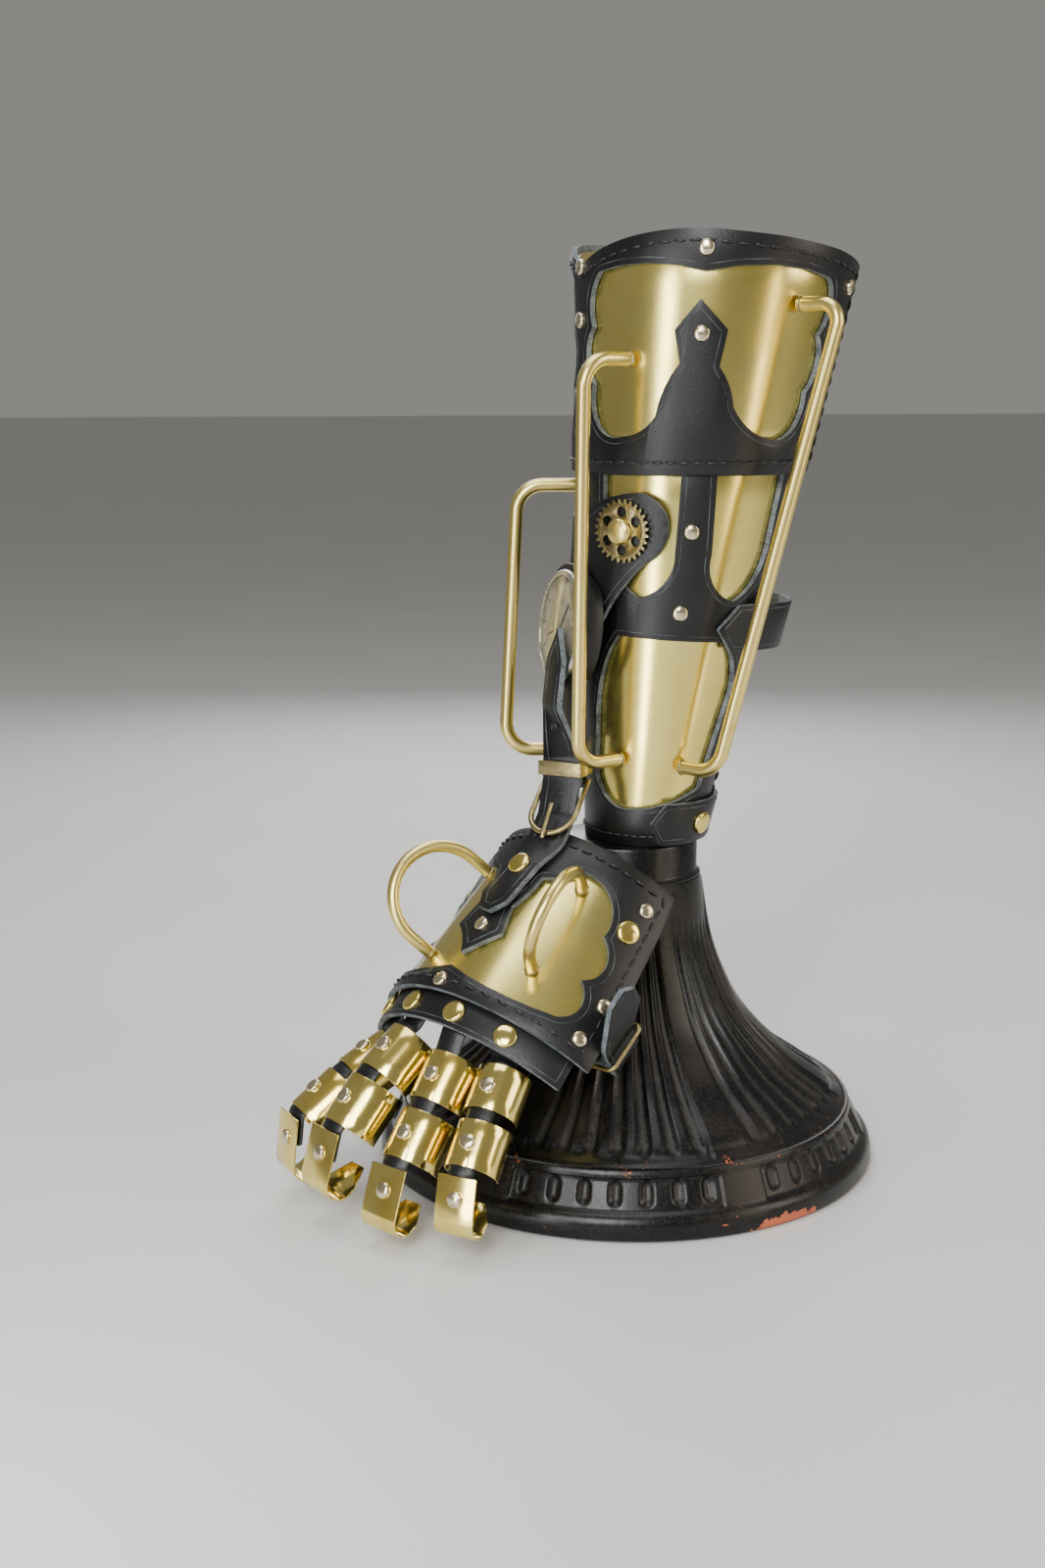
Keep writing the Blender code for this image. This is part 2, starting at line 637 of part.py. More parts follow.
def raised_seat(middle, normal, angle, height, radius):
    """The middle moved out along the normal until a flat disc there clears the carrier."""
    clear = 0.0
    for level in range(-8, 9):
        for step in range(-8, 9):
            if level * level + step * step <= 64:
                point = carrier_surface(angle + radius * step / 8 / CARRIER_RADIUS,
                                        height + radius * level / 8, CARRIER_BOTTOM + LEATHER)
                clear = max(clear, (point - middle).dot(normal))
    return middle + normal * (clear + GAP)


def dial_frame():
    """The dial's placement: its back lies on the carrier's back line, tipped by its tilt."""
    middle = carrier_surface(0.0, DIAL_HEIGHT, CARRIER_BOTTOM + LEATHER)
    normal = Vector((-math.cos(DIAL_TILT), 0, math.sin(DIAL_TILT)))
    seat = raised_seat(middle, normal, 0.0, DIAL_HEIGHT, DIAL_RADIUS)
    return standing(seat, normal, Vector((0, -1, 0)))


def build_carrier():
    radius = CARRIER_RADIUS
    outline = drawn(CARRIER_OUTLINE, CARRIER_HALF, CARRIER_SPAN)
    half = CARRIER_HALF * 1.6

    def on_carrier(x, y, lift):
        return carrier_surface(x / radius, CARRIER_LOW + y, lift)

    bent_sheet("dial_carrier", outline, on_carrier, CARRIER_BOTTOM, CARRIER_BOTTOM + LEATHER,
               "leather", across=steps(-half, half, math.radians(9) * radius),
               along=steps(0, CARRIER_SPAN, CARRIER_SPAN / 9))


def build_dial():
    frame = dial_frame()
    inner = DIAL_RADIUS - DIAL_WALL
    floor = DIAL_THICK * 0.3
    profile = [(0.0, 0.0), (DIAL_RADIUS * 0.98, 0.0), (DIAL_RADIUS, DIAL_THICK * 0.1),
               (DIAL_RADIUS, DIAL_THICK * 0.75), (DIAL_RADIUS * 0.97, DIAL_THICK),
               (inner * 1.02, DIAL_THICK), (inner, DIAL_THICK * 0.9), (inner, floor), (0.0, floor)]
    turned("dial_bezel", profile, 32, frame, "silver")
    raised = frame @ Matrix.Translation((0, 0, floor + GAP))
    disc = inner - GAP
    turned("dial_face", [(0.0, 0.0), (disc, 0.0), (disc, BRASS), (0.0, BRASS)], 32, raised,
           "dial_face")


def build_dial_ring():
    """The leather wall round the dial: its back edge follows the carrier, its front is flat."""
    frame = dial_frame()
    sides = 32
    inner, outer = DIAL_RADIUS + GAP, DIAL_RADIUS + GAP + LEATHER
    front = DIAL_THICK * 0.45
    shape = bmesh.new()
    rings = []
    for turn in (math.tau * index / sides for index in range(sides)):
        section = []
        for radius, is_front in ((inner, 0), (outer, 0), (outer, 1), (inner, 1)):
            flat = Vector((radius * math.cos(turn), radius * math.sin(turn), front))
            if is_front:
                section.append(shape.verts.new(frame @ flat))
                continue
            flat.z = ring_seat(frame, flat)
            section.append(shape.verts.new(frame @ flat))
        rings.append(section)
    for index in range(sides):
        here, there = rings[index], rings[(index + 1) % sides]
        for edge in range(4):
            shape.faces.new((here[edge], here[(edge + 1) % 4], there[(edge + 1) % 4], there[edge]))
    add_mesh("dial_ring", shape, "leather")


def ring_seat(frame, flat):
    """How deep a point of the dial's wall can go before it meets the carrier's leather."""
    level = 0.0
    for step in range(DIAL_WALL_STEPS):
        point = frame @ Vector((flat.x, flat.y, level))
        height = point.z - GUARD_BOTTOM
        share = height / SLEEVE_HEIGHT
        width = WRIST_WIDTH + (ELBOW_WIDTH - WRIST_WIDTH) * share + CARRIER_BOTTOM + LEATHER
        angle = math.asin(max(-0.999, min(0.999, -point.y / width)))
        skin = carrier_surface(angle, height, CARRIER_BOTTOM + LEATHER)
        if point.x > skin.x - GAP * 3:
            break
        level -= GAP
    return level


# The hand's surface
def hand_axes():
    ahead = Vector((-math.cos(HAND_HEADING), -math.sin(HAND_HEADING), 0))
    upward = Vector((0, 0, 1))
    along = ahead * math.cos(HAND_SLOPE) - upward * math.sin(HAND_SLOPE)
    normal = ahead * math.sin(HAND_SLOPE) + upward * math.cos(HAND_SLOPE)
    side = normal.cross(along)
    near = side * math.cos(HAND_ROLL) - normal * math.sin(HAND_ROLL)
    return along, near, normal * math.cos(HAND_ROLL) + side * math.sin(HAND_ROLL)


def hand(angle, along, lift):
    """A point on the hand guard: angle from its middle towards the near side."""
    way, near, normal = hand_axes()
    radius = HAND_RADIUS + (KNUCKLE_RADIUS - HAND_RADIUS) * along / HAND_LENGTH
    start = Vector((-HAND_OUT, -HAND_SIDE, STAND_HEIGHT + HAND_UP))
    return (start + way * along + near * (radius + lift) * math.sin(angle)
            + normal * ((radius + lift) * math.cos(angle) - radius))


def hand_share(share, along, lift):
    wrap = HAND_WRAP + (KNUCKLE_WRAP - HAND_WRAP) * along / HAND_LENGTH
    return hand(share * wrap, along, lift)


def hand_normal(share, along):
    return (hand_share(share, along, 0.001) - hand_share(share, along, 0)).normalized()


def hand_pattern(points):
    """Points drawn in shares of the guard's width, moved to its flat pattern's fixed angles."""
    wraps = (KNUCKLE_WRAP - HAND_WRAP) / HAND_WRAP / HAND_LENGTH
    return [(x * (1 + wraps * y), y) for x, y in points]


def on_hand(x, y, lift):
    return hand(x / HAND_ARC * HAND_WRAP, y, lift)


def hand_line(share, along):
    """The way along the guard at a share of its width."""
    turn = share * (HAND_WRAP + (KNUCKLE_WRAP - HAND_WRAP) * along / HAND_LENGTH)
    return (hand(turn, HAND_LENGTH, 0.0) - hand(turn, 0.0, 0.0)).normalized()


def hand_bends():
    return steps(-HAND_ARC, HAND_ARC, 2 * HAND_ARC / HAND_BENDS)


def build_hand():
    bends = hand_bends()
    far = mirrored(HAND_HALF_WINDOW[1:])
    far[0] = (far[0][0], far[0][1], HAND_HALF_WINDOW[-2][2])
    rows = list(HAND_HALF_WINDOW) + [HAND_WINDOW_FOOT] + far
    edge = [(-HAND_ARC, 0), (HAND_ARC, 0), (HAND_ARC, HAND_LENGTH), (-HAND_ARC, HAND_LENGTH)]
    bent_sheet("hand_leather", hand_pattern(edge), on_hand, GAP, STACK, "leather",
               holes=[hand_pattern(drawn(rows, HAND_ARC, HAND_LENGTH))], across=bends)
    half, low, high = HAND_ARC * HAND_PLATE_HALF, PLATE_INSET, HAND_LENGTH - PLATE_INSET
    edge = [(-half, low), (half, low), (half, high), (-half, high)]
    bent_sheet("hand_plate", hand_pattern(edge), on_hand, -BRASS, 0.0, "brass", across=bends)


def build_hand_loops():
    for name, share, start, end, height in LOOPS:
        points = []
        low = hand_share(share, start * HAND_LENGTH, 1.5 * GAP)
        high = hand_share(share, end * HAND_LENGTH, 1.5 * GAP)
        normal = hand_normal(share, (start + end) / 2 * HAND_LENGTH)
        reach = height - TUBE / 2
        bow = (high - low).length / 2
        for step in range(11):
            turn = math.pi * step / 10
            middle = low.lerp(high, (1 - math.cos(turn)) / 2)
            points.append(middle + normal * (reach - bow + bow * math.sin(turn)))
        tube(name, [low, *points, high], TUBE * 0.9, "tube_brass")


def build_knuckle_band():
    """A band under the guard's lower edge that holds the finger straps."""
    start = HAND_LENGTH - KNUCKLE_BAND * KNUCKLE_LAP
    end = start + KNUCKLE_BAND
    half = HAND_ARC * KNUCKLE_HALF
    edge = [(-half, start), (half, start), (half, end), (-half, end)]
    outer = -BRASS - GAP
    bent_sheet("knuckle_band", hand_pattern(edge), on_hand, outer - LEATHER, outer, "leather",
               across=hand_bends())


# Fingers
def heading_vectors(heading):
    turn = math.radians(heading)
    ahead = Vector((-math.cos(turn), -math.sin(turn), 0))
    return ahead, Vector((-ahead.y, ahead.x, 0))


def down(ahead, slope):
    turn = math.radians(slope)
    return ahead * math.cos(turn) - Vector((0, 0, 1)) * math.sin(turn)


def hand_tangent(turn):
    _, near, hand_up = hand_axes()
    return near * math.cos(turn) - hand_up * math.sin(turn)


def build_finger(name, arc, heading, scale, lead, root_slope, first, second, tip):
    ahead, side = heading_vectors(heading)
    under = -BRASS - GAP - LEATHER
    root = hand(math.radians(arc), HAND_LENGTH + KNUCKLE_BAND * 0.25, under - FINGER_GAP / 3)
    run = KNUCKLE_BAND * 0.41
    drift = run * math.tan(math.radians(heading) - HAND_HEADING) / KNUCKLE_RADIUS
    under_edge = hand(math.radians(arc) + drift, HAND_LENGTH + KNUCKLE_BAND * 0.25 + run,
                      under - FINGER_GAP)
    pitch = RING_LENGTH * scale + RING_SPACE
    ring_one = root + down(ahead, root_slope) * lead
    knee_one = ring_one + down(ahead, first) * pitch / 2
    ring_two = knee_one + down(ahead, second) * pitch / 2
    knee_two = ring_two + down(ahead, second) * pitch / 2
    tip_top = knee_two + down(ahead, tip) * RING_SPACE * 0.3
    strap_end = tip_top + down(ahead, tip) * TIP_LENGTH * scale * TIP_STRAP
    knee_root = ring_one - down(ahead, first) * (RING_LENGTH * scale / 2 + RING_SPACE * 0.2)
    route = [root, under_edge, knee_root, knee_one, knee_two, strap_end]
    route = rounded(route, RING_SPACE * 0.9, 3)
    root_side = hand_tangent(math.radians(arc))

    def sides(share):
        return root_side.lerp(side, ramp(share, 0.05, 0.14))

    strap = Path(route, sides)
    bow = RING_RADIUS * scale - GAP - BRASS

    def on_strap(x, y, lift):
        turn = x / bow
        return strap.at((bow + lift) * math.sin(turn), y, (bow + lift) * math.cos(turn) - bow)

    half = FINGER_STRAP * scale / 2
    edge = [(-half, 0), (half, 0), (half, strap.length), (-half, strap.length)]
    bent_sheet("strap_" + name, edge, on_strap, -LEATHER, 0.0, "leather",
               across=[-half * 0.35, half * 0.35], along=strap.marks[1:-1])

    for number, middle, slope in (("first", ring_one, first), ("second", ring_two, second)):
        way = down(ahead, slope)
        normal = way.cross(side)
        start = middle - way * RING_LENGTH * scale / 2
        radius = bow + GAP

        def on_ring(x, y, lift, start=start, way=way, normal=normal, radius=radius):
            turn = x / radius
            reach = radius + lift
            return (start + way * y + side * reach * math.sin(turn)
                    + normal * (reach * math.cos(turn) - bow))

        half = RING_WRAP * radius
        edge = [(-half, 0), (half, 0), (half, RING_LENGTH * scale), (-half, RING_LENGTH * scale)]
        ring = bent_sheet(f"{name}_ring_{number}", edge, on_ring, 0.0, BRASS, "polished_brass",
                          across=steps(-half, half, math.radians(21) * radius))
        seat = standing(middle + normal * (GAP + BRASS * 0.5), normal, side)
        join(ring, dome("rivet", RIVET / 2, RIVET_RISE + BRASS * 0.5, seat, "rivet_brass", 10))

    way = down(ahead, tip)
    normal = way.cross(side)
    radius = TIP_RADIUS * scale
    front = TIP_LENGTH * scale
    top = tip_top + normal * GAP
    hook = [top + way * front * step for step in (0.0, 1.0)]
    centre = hook[-1] - normal * radius
    for step in range(1, 7):
        turn = TIP_TURN * step / 6
        hook.append(centre + normal * radius * math.cos(turn) + way * radius * math.sin(turn))
    last = -normal * math.sin(TIP_TURN) + way * math.cos(TIP_TURN)
    hook.append(hook[-1] + last * TIP_HOOK * scale)
    tip_path = Path(hook, lambda share: side)
    half = TIP_WIDTH * scale / 2
    length = tip_path.length
    edge = [(-half, 0), (half, 0), (half, length - half), (half * 0.45, length),
            (-half * 0.45, length), (-half, length - half)]
    shell = bent_sheet(name + "_tip", edge, tip_path.at, 0.0, BRASS, "polished_brass",
                       along=tip_path.marks[1:-1])
    seat = standing(top + way * front * 0.5 + normal * BRASS * 0.5, normal, side)
    join(shell, dome("rivet", RIVET / 2, RIVET_RISE + BRASS * 0.5, seat, "rivet_brass", 10))


# Buckled strap
def buckle_axes():
    """The middle of the buckle's bar, the way along it, and the way outwards."""
    side = Vector((math.sin(BUCKLE_TURN), -math.cos(BUCKLE_TURN), 0))
    out = Vector((-math.cos(BUCKLE_TURN), -math.sin(BUCKLE_TURN), 0))
    bar = Vector((-BUCKLE_OUT, -STRAP_OFFSET, GUARD_BOTTOM + BUCKLE_HEIGHT))
    return bar, side, out


def buckle_drop():
    """The way from the bar to the bow, and the way out of the frame's plane."""
    _, _, out = buckle_axes()
    lean, fall = math.sin(BUCKLE_TILT), math.cos(BUCKLE_TILT)
    return out * lean - Vector((0, 0, fall)), out * fall + Vector((0, 0, lean))


def strap_route():
    """From the pointed end on the dial, over the bar, inside the bow, and down to the hand."""
    frame = dial_frame()
    normal, downward = frame.col[2].to_3d(), frame.col[1].to_3d()
    downward = downward if downward.z < 0 else -downward
    on_dial = frame.translation + normal * (DIAL_THICK + 2 * GAP) - Vector((0, STRAP_OFFSET, 0))
    bar, side, out = buckle_axes()
    lower, facing = buckle_drop()
    over_bar = bar + out * (WIRE / 2 + TAB_LEATHER + 3 * GAP)
    behind = facing * (WIRE / 2 + LEATHER + 2 * GAP)
    seat = STACK + 3 * GAP
    return [on_dial, on_dial + downward * DIAL_RADIUS * STRAP_DIAL_RUN,
            over_bar + Vector((0, 0, KEEPER_HEIGHT * 1.6)), over_bar,
            bar + lower * BUCKLE_DROP * BUCKLE_HOLE - behind, bar + lower * BUCKLE_DROP - behind,
            *(hand_share(across, HAND_LENGTH * along, seat) for across, along in STRAP_FEET)]


def build_buckle_strap():
    near, side = hand_axes()[1], buckle_axes()[1]
    route = strap_route()
    marks = [0.0]
    for first, second in zip(route, route[1:]):
        marks.append(marks[-1] + (second - first).length)
    on_dial = Vector((0, -1, 0))

    def sides(share):
        mark = share * marks[-1]
        if mark < marks[3]:
            return on_dial.lerp(side, ramp(mark, marks[2] - KEEPER_HEIGHT * 1.5, marks[2]))
        return side.lerp(near, ramp(mark, marks[5], marks[6]))

    strap = Path(rounded(route, STRAP_WIDTH * 0.5, 5), sides)
    half = STRAP_WIDTH / 2
    length = strap.length
    edge = [(0, 0), (half, half * 1.6), (half, length - half * 0.8), (half * 0.4, length),
            (-half * 0.4, length), (-half, length - half * 0.8), (-half, half * 1.6)]
    bent_sheet("hand_strap", edge, strap.at, 0.0, LEATHER, "leather", along=strap.marks[1:-1])


def build_buckle():
    bar, side, _ = buckle_axes()
    lower, _ = buckle_drop()
    bow = BUCKLE_WIDTH / 2 - WIRE / 2
    straight = BUCKLE_DROP - WIRE / 2 - bow
    points = [bar - side * bow, bar + side * bow]
    for turn in (math.pi * step / 8 for step in range(9)):
        points.append(bar + side * bow * math.cos(turn) + lower * (straight + bow * math.sin(turn)))
    tube("buckle_frame", points, WIRE, "antique_brass", closed=True)


def build_buckle_tab():
    """Leather from the dial's carrier that folds round the buckle's bar."""
    bar, side, out = buckle_axes()
    rise = Vector((0, 0, 1))
    turn = math.asin(STRAP_OFFSET / WRIST_WIDTH) * 0.8
    lift = CARRIER_BOTTOM + LEATHER + 4 * GAP + TAB_LEATHER
    hug = WIRE / 2 + GAP
    points = [carrier_surface(turn, CARRIER_LOW + 0.006, lift),
              carrier_surface(turn, CARRIER_LOW, lift),
              bar - out * hug + rise * KEEPER_HEIGHT * 1.7, bar - out * hug - rise * hug,
              bar + out * hug - rise * hug, bar + out * hug + rise * KEEPER_HEIGHT * 1.4]
    first = Vector((0.10, -0.995, 0))
    tab = Path(rounded(points, hug * 0.98, 4),
               lambda share: first.lerp(side, ramp(share, 0.1, 0.33)))
    half = BUCKLE_WIDTH / 2 - WIRE - 2 * GAP
    edge = [(-half, 0), (half, 0), (half, tab.length), (-half, tab.length)]
    bent_sheet("buckle_tab", edge, tab.at, -TAB_LEATHER, 0.0, "leather", along=tab.marks[1:-1])


def build_keeper():
    """A flat brass keeper round the strap and the folded tab, above the bar."""
    bar, side, out = buckle_axes()
    back = WIRE / 2 + 2 * GAP + TAB_LEATHER
    front = back + GAP + LEATHER + GAP
    half = STRAP_WIDTH / 2 + 2 * GAP
    sheet = BRASS * 1.4
    low = bar + Vector((0, 0, WIRE / 2 + GAP * 4))
    shape = bmesh.new()
    rings = []
    for level in (0.0, KEEPER_HEIGHT):
        for extra in (0.0, sheet):
            ring = []
            for across, reach in ((-half - extra, -back - extra), (half + extra, -back - extra),
                                  (half + extra, front + extra), (-half - extra, front + extra)):
                ring.append(shape.verts.new(low + side * across + out * reach
                                            + Vector((0, 0, level))))
            rings.append(ring)
    for first, second in ((0, 1), (1, 3), (3, 2), (2, 0)):
        for index in range(4):
            after = (index + 1) % 4
            shape.faces.new((rings[first][index], rings[first][after],
                             rings[second][after], rings[second][index]))
    add_mesh("strap_keeper", shape, "antique_brass")


def build_prong():
    """The prong's visible end, from the strap's hole over the bow."""
    bar = buckle_axes()[0]
    lower, facing = buckle_drop()
    wire = WIRE * 0.8
    front = WIRE / 2 + GAP + wire / 2
    hole = bar + lower * BUCKLE_DROP * BUCKLE_HOLE + facing * (front + LEATHER * 0.9)
    end = bar + lower * BUCKLE_DROP + facing * front
    tube("buckle_prong", rounded([hole, end, end + lower * WIRE * 0.9 - facing * WIRE * 0.4],
                                 WIRE, 3), wire, "antique_brass")


# Palm side of the hand
def palm_crossing():
    """The outer face of the palm strap where it passes through its buckle."""
    _, near, hand_up = hand_axes()
    return hand_share(1.0, PALM_PLACE, STACK) + near * PALM_OUT - hand_up * PALM_DROP


def build_palm_strap():
    """Riveted inside the far wall, across the palm, through the buckle and up to a point."""
    way, near, hand_up = hand_axes()
    crossing = palm_crossing()
    ahead, back, out = PALM_LEAN
    lean = (hand_up * ahead - way * back + near * out).normalized()
    inner = -BRASS - 3 * GAP
    far = hand_share(-1.0, PALM_FAR, inner)
    off = (far - hand_share(-0.97, PALM_FAR, inner)).normalized()
    far_low = far + off * PALM_SAG * 0.7
    near_low = crossing - hand_up * PALM_SAG - near * PALM_SAG * 0.3
    points = [hand_share(-PALM_ROOT[0], PALM_FAR, inner), hand_share(-PALM_ROOT[1], PALM_FAR, inner), far,
              far_low, (far_low + near_low) / 2 + hand_up * PALM_ARCH, near_low,
              crossing + hand_up * PALM_SAG * 0.4, crossing + hand_up * PALM_SAG * 0.4
              + lean * PALM_END]
    far_side = hand_line(-PALM_ROOT[1], PALM_FAR)
    turned_side = near.cross(lean).normalized()

    def sides(share):
        if share < 0.5:
            return far_side.lerp(way, ramp(share, 0.12, 0.32))
        return way.lerp(turned_side, ramp(share, 0.84, 0.94))

    strap = Path(rounded(points, PALM_SAG * 0.45, 4), sides)
    half, length = PALM_WIDTH / 2, strap.length
    shoulder, blunt = length - half * 0.8, half * 0.4
    edge = [(-half, 0), (half, 0), (half, shoulder), (blunt, length), (-blunt, length),
            (-half, shoulder)]
    bent_sheet("palm_strap", edge, strap.at, -LEATHER, 0.0, "leather", along=strap.marks[1:-1])


def palm_bars():
    near = hand_axes()[1]
    outer = palm_crossing() + near * (PALM_WIRE / 2 + 2 * GAP)
    return outer, outer - near * PALM_LOOP


def build_palm_buckle():
    way = hand_axes()[0]
    outer, inner = palm_bars()
    reach = PALM_WIDTH / 2 + PALM_WIRE * 1.2
    corners = [outer - way * reach, outer + way * reach, inner + way * reach, inner - way * reach]
    start = (corners[3] + corners[0]) / 2
    route = rounded([start] + corners + [start], PALM_WIRE * 1.2, 3)
    tube("palm_buckle", route[:-1], PALM_WIRE, "antique_brass", closed=True, resolution=1)


def build_palm_tab():
    """A tab under the near wall that folds round the inner bar of the palm buckle."""
    way, near, hand_up = hand_axes()
    bar = palm_bars()[1]
    inner = -BRASS - 3 * GAP - TAB_LEATHER
    hug = PALM_WIRE / 2 + 2 * GAP
    line = hand_line(sum(PALM_TAB_ROOT) / 2, PALM_PLACE)
    points = [*(hand_share(share, PALM_PLACE, inner) for share in PALM_TAB_ROOT),
              bar + near * hug + hand_up * hug * 1.5, bar + near * hug - hand_up * hug,
              bar - near * hug - hand_up * hug, bar - near * hug + hand_up * hug * 3]
    tab = Path(rounded(points, hug * 0.98, 4),
               lambda share: -line.lerp(way, ramp(share, 0.25, 0.5)))
    half = PALM_WIDTH / 2
    edge = [(-half, 0), (half, 0), (half, tab.length), (-half, tab.length)]
    bent_sheet("palm_tab", edge, tab.at, 0.0, TAB_LEATHER, "leather", along=tab.marks[1:-1])


# Stand
def flute_turns():
    """Angles round the stand, each with 1 in the middle of a flute and 0 on a ridge."""
    panel = math.tau / STAND_PANELS
    pitch = (panel - RIB) / FLUTES
    turns = []
    for group in range(STAND_PANELS):
        start = RIB_TURN + group * panel + RIB / 2
        for index in range(2 * FLUTES + 1):
            turns.append((start + pitch * index / 2, index % 2))
    return turns


def build_stand():
    shape = bmesh.new()
    flare = STAND_HEIGHT - NECK_HEIGHT
    rings = []
    turns = flute_turns()
    for radius_share, height_share, fluted in STAND_PROFILE:
        ring = []
        for turn, hollow in turns:
            radius = STAND_RADIUS * radius_share
            radius -= FLUTE_DEPTH * fluted * hollow
            ring.append(shape.verts.new((radius * math.cos(turn), radius * math.sin(turn),
                                         flare * height_share)))
        rings.append(ring)
    count = len(turns)
    for lower, upper in zip(rings, rings[1:]):
        for index in range(count):
            after = (index + 1) % count
            shape.faces.new((lower[index], lower[after], upper[after], upper[index]))
    shape.faces.new(rings[0][::-1])
    shape.faces.new(rings[-1])
    stand = add_mesh("stand", shape, "bronze")
    overlap = NECK_RADIUS * 0.1
    post_top = STAND_HEIGHT + POST_HEIGHT
    profile = [(0.0, flare - overlap), (NECK_RADIUS, flare - overlap), (NECK_RADIUS, STAND_HEIGHT),
               (POST_RADIUS, STAND_HEIGHT), (POST_RADIUS, post_top), (0.0, post_top)]
    join(stand, turned("neck", profile, 32, Matrix.Identity(4), "bronze"))


clear_scene()
build_sleeve()
build_cuff()
build_sleeve_straps()
build_tubes()
build_carrier()
build_dial()
build_dial_ring()
build_gear()
build_hand()
build_hand_loops()
build_knuckle_band()
for row in FINGERS:
    build_finger(*row)
build_buckle_strap()
build_buckle()
build_prong()
build_buckle_tab()
build_keeper()
build_palm_strap()
build_palm_buckle()
build_palm_tab()
build_stand()
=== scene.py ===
# Looks of an articulated gauntlet of black leather and sheet brass on its fluted stand.
import math
import random

import bpy
from mathutils import Matrix, Vector


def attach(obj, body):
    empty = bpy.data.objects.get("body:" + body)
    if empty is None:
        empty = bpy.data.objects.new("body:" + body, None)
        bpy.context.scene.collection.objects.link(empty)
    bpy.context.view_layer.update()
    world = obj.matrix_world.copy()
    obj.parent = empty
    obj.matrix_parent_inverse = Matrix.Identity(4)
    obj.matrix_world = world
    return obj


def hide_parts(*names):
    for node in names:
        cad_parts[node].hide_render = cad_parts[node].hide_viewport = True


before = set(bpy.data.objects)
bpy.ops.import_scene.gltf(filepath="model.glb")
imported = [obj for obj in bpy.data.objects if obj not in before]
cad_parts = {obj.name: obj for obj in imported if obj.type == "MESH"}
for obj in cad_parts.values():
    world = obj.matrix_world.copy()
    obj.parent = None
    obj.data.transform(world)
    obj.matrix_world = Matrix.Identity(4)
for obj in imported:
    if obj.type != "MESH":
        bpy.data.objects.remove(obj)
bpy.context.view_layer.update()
print("frame loaded:", len(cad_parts), "nodes")

# Stock that all the pieces share, in metres
stock = {"gap": 0.0003, "leather": 0.0025, "skived": 0.0016, "brass": 0.0008, "tube": 0.006,
         "wire": 0.0026, "palmWire": 0.0022}
gap, leather, brass = stock["gap"], stock["leather"], stock["brass"]
stack = gap + leather                 # outer face of leather that lies on brass
secondStack = stack + gap + leather   # outer face of leather on leather
weld = 0.000002
rounding = {"leather": 0.00045, "brass": 0.0002, "dialRing": 0.0005, "keeper": 0.0004,
            "angle": math.radians(40)}
upward = Vector((0, 0, 1))


# Shader maths
class Wire:
    def __init__(self, tree, socket):
        self.tree, self.socket = tree, socket

    def maths(self, operation, first, second=0.0):
        node = self.tree.nodes.new("ShaderNodeMath")
        node.operation = operation
        plug(self.tree, node.inputs[0], first)
        plug(self.tree, node.inputs[1], second)
        return Wire(self.tree, node.outputs[0])

    def __add__(self, other): return self.maths("ADD", self, other)
    def __radd__(self, other): return self.maths("ADD", other, self)
    def __sub__(self, other): return self.maths("SUBTRACT", self, other)
    def __rsub__(self, other): return self.maths("SUBTRACT", other, self)
    def __mul__(self, other): return self.maths("MULTIPLY", self, other)
    def root(self): return self.maths("SQRT", self)
    def most(self, other): return self.maths("MAXIMUM", self, other)


def plug(tree, socket, value):
    if isinstance(value, Wire):
        tree.links.new(value.socket, socket)
    else:
        socket.default_value = value


class Finish:
    def __init__(self, name):
        self.name, self.material = name, bpy.data.materials.new(name)
        self.material.use_nodes = True
        self.tree = self.material.node_tree
        self.shader = self.tree.nodes["Principled BSDF"]
        self.spot = self.node("ShaderNodeTexCoord", output="Object")

    def node(self, kind, settings=None, values=None, output=0):
        made = self.tree.nodes.new(kind)
        for key, value in (settings or {}).items():
            setattr(made, key, value)
        for key, value in (values or {}).items():
            plug(self.tree, made.inputs[key], value)
        return Wire(self.tree, made.outputs[output])

    def noise(self, scale, detail=3.0, rough=0.6, stretch=None, twist=0.0):
        spot = self.spot
        if stretch:
            spot = self.node("ShaderNodeMapping", None, {"Vector": spot, "Scale": stretch})
        return self.node("ShaderNodeTexNoise", None, {"Vector": spot, "Scale": scale, "Detail": detail,
                                                      "Roughness": rough, "Distortion": twist})

    def cells(self, scale):
        return self.node("ShaderNodeTexVoronoi", None, {"Vector": self.spot, "Scale": scale}, "Distance")

    def band(self, value, low, high):
        return self.node("ShaderNodeMapRange", {"interpolation_type": "SMOOTHSTEP"},
                         {"Value": value, "From Min": low, "From Max": high})

    def blend(self, share, first, second):
        return self.node("ShaderNodeMix", {"data_type": "RGBA"}, {0: share, 6: first, 7: second}, 2)

    def tone(self, share):
        return self.blend(share, *(tint(colour) for colour in tones[self.name]))

    def axis(self, letter):
        return self.node("ShaderNodeSeparateXYZ", None, {0: self.spot}, letter)

    def bump(self, height, strength, distance):
        return self.node("ShaderNodeBump", None, {"Height": height, "Strength": strength,
                                                  "Distance": distance})

    def done(self, colour, roughness, normal=None, metallic=0.0, **rest):
        values = {"Base Color": colour, "Roughness": roughness, "Metallic": metallic, **rest}
        if normal:
            values["Normal"] = normal
        for key, value in values.items():
            plug(self.tree, self.shader.inputs[key.replace("_", " ")], value)
        return self.material


def tint(colour):
    return (*colour, 1.0)


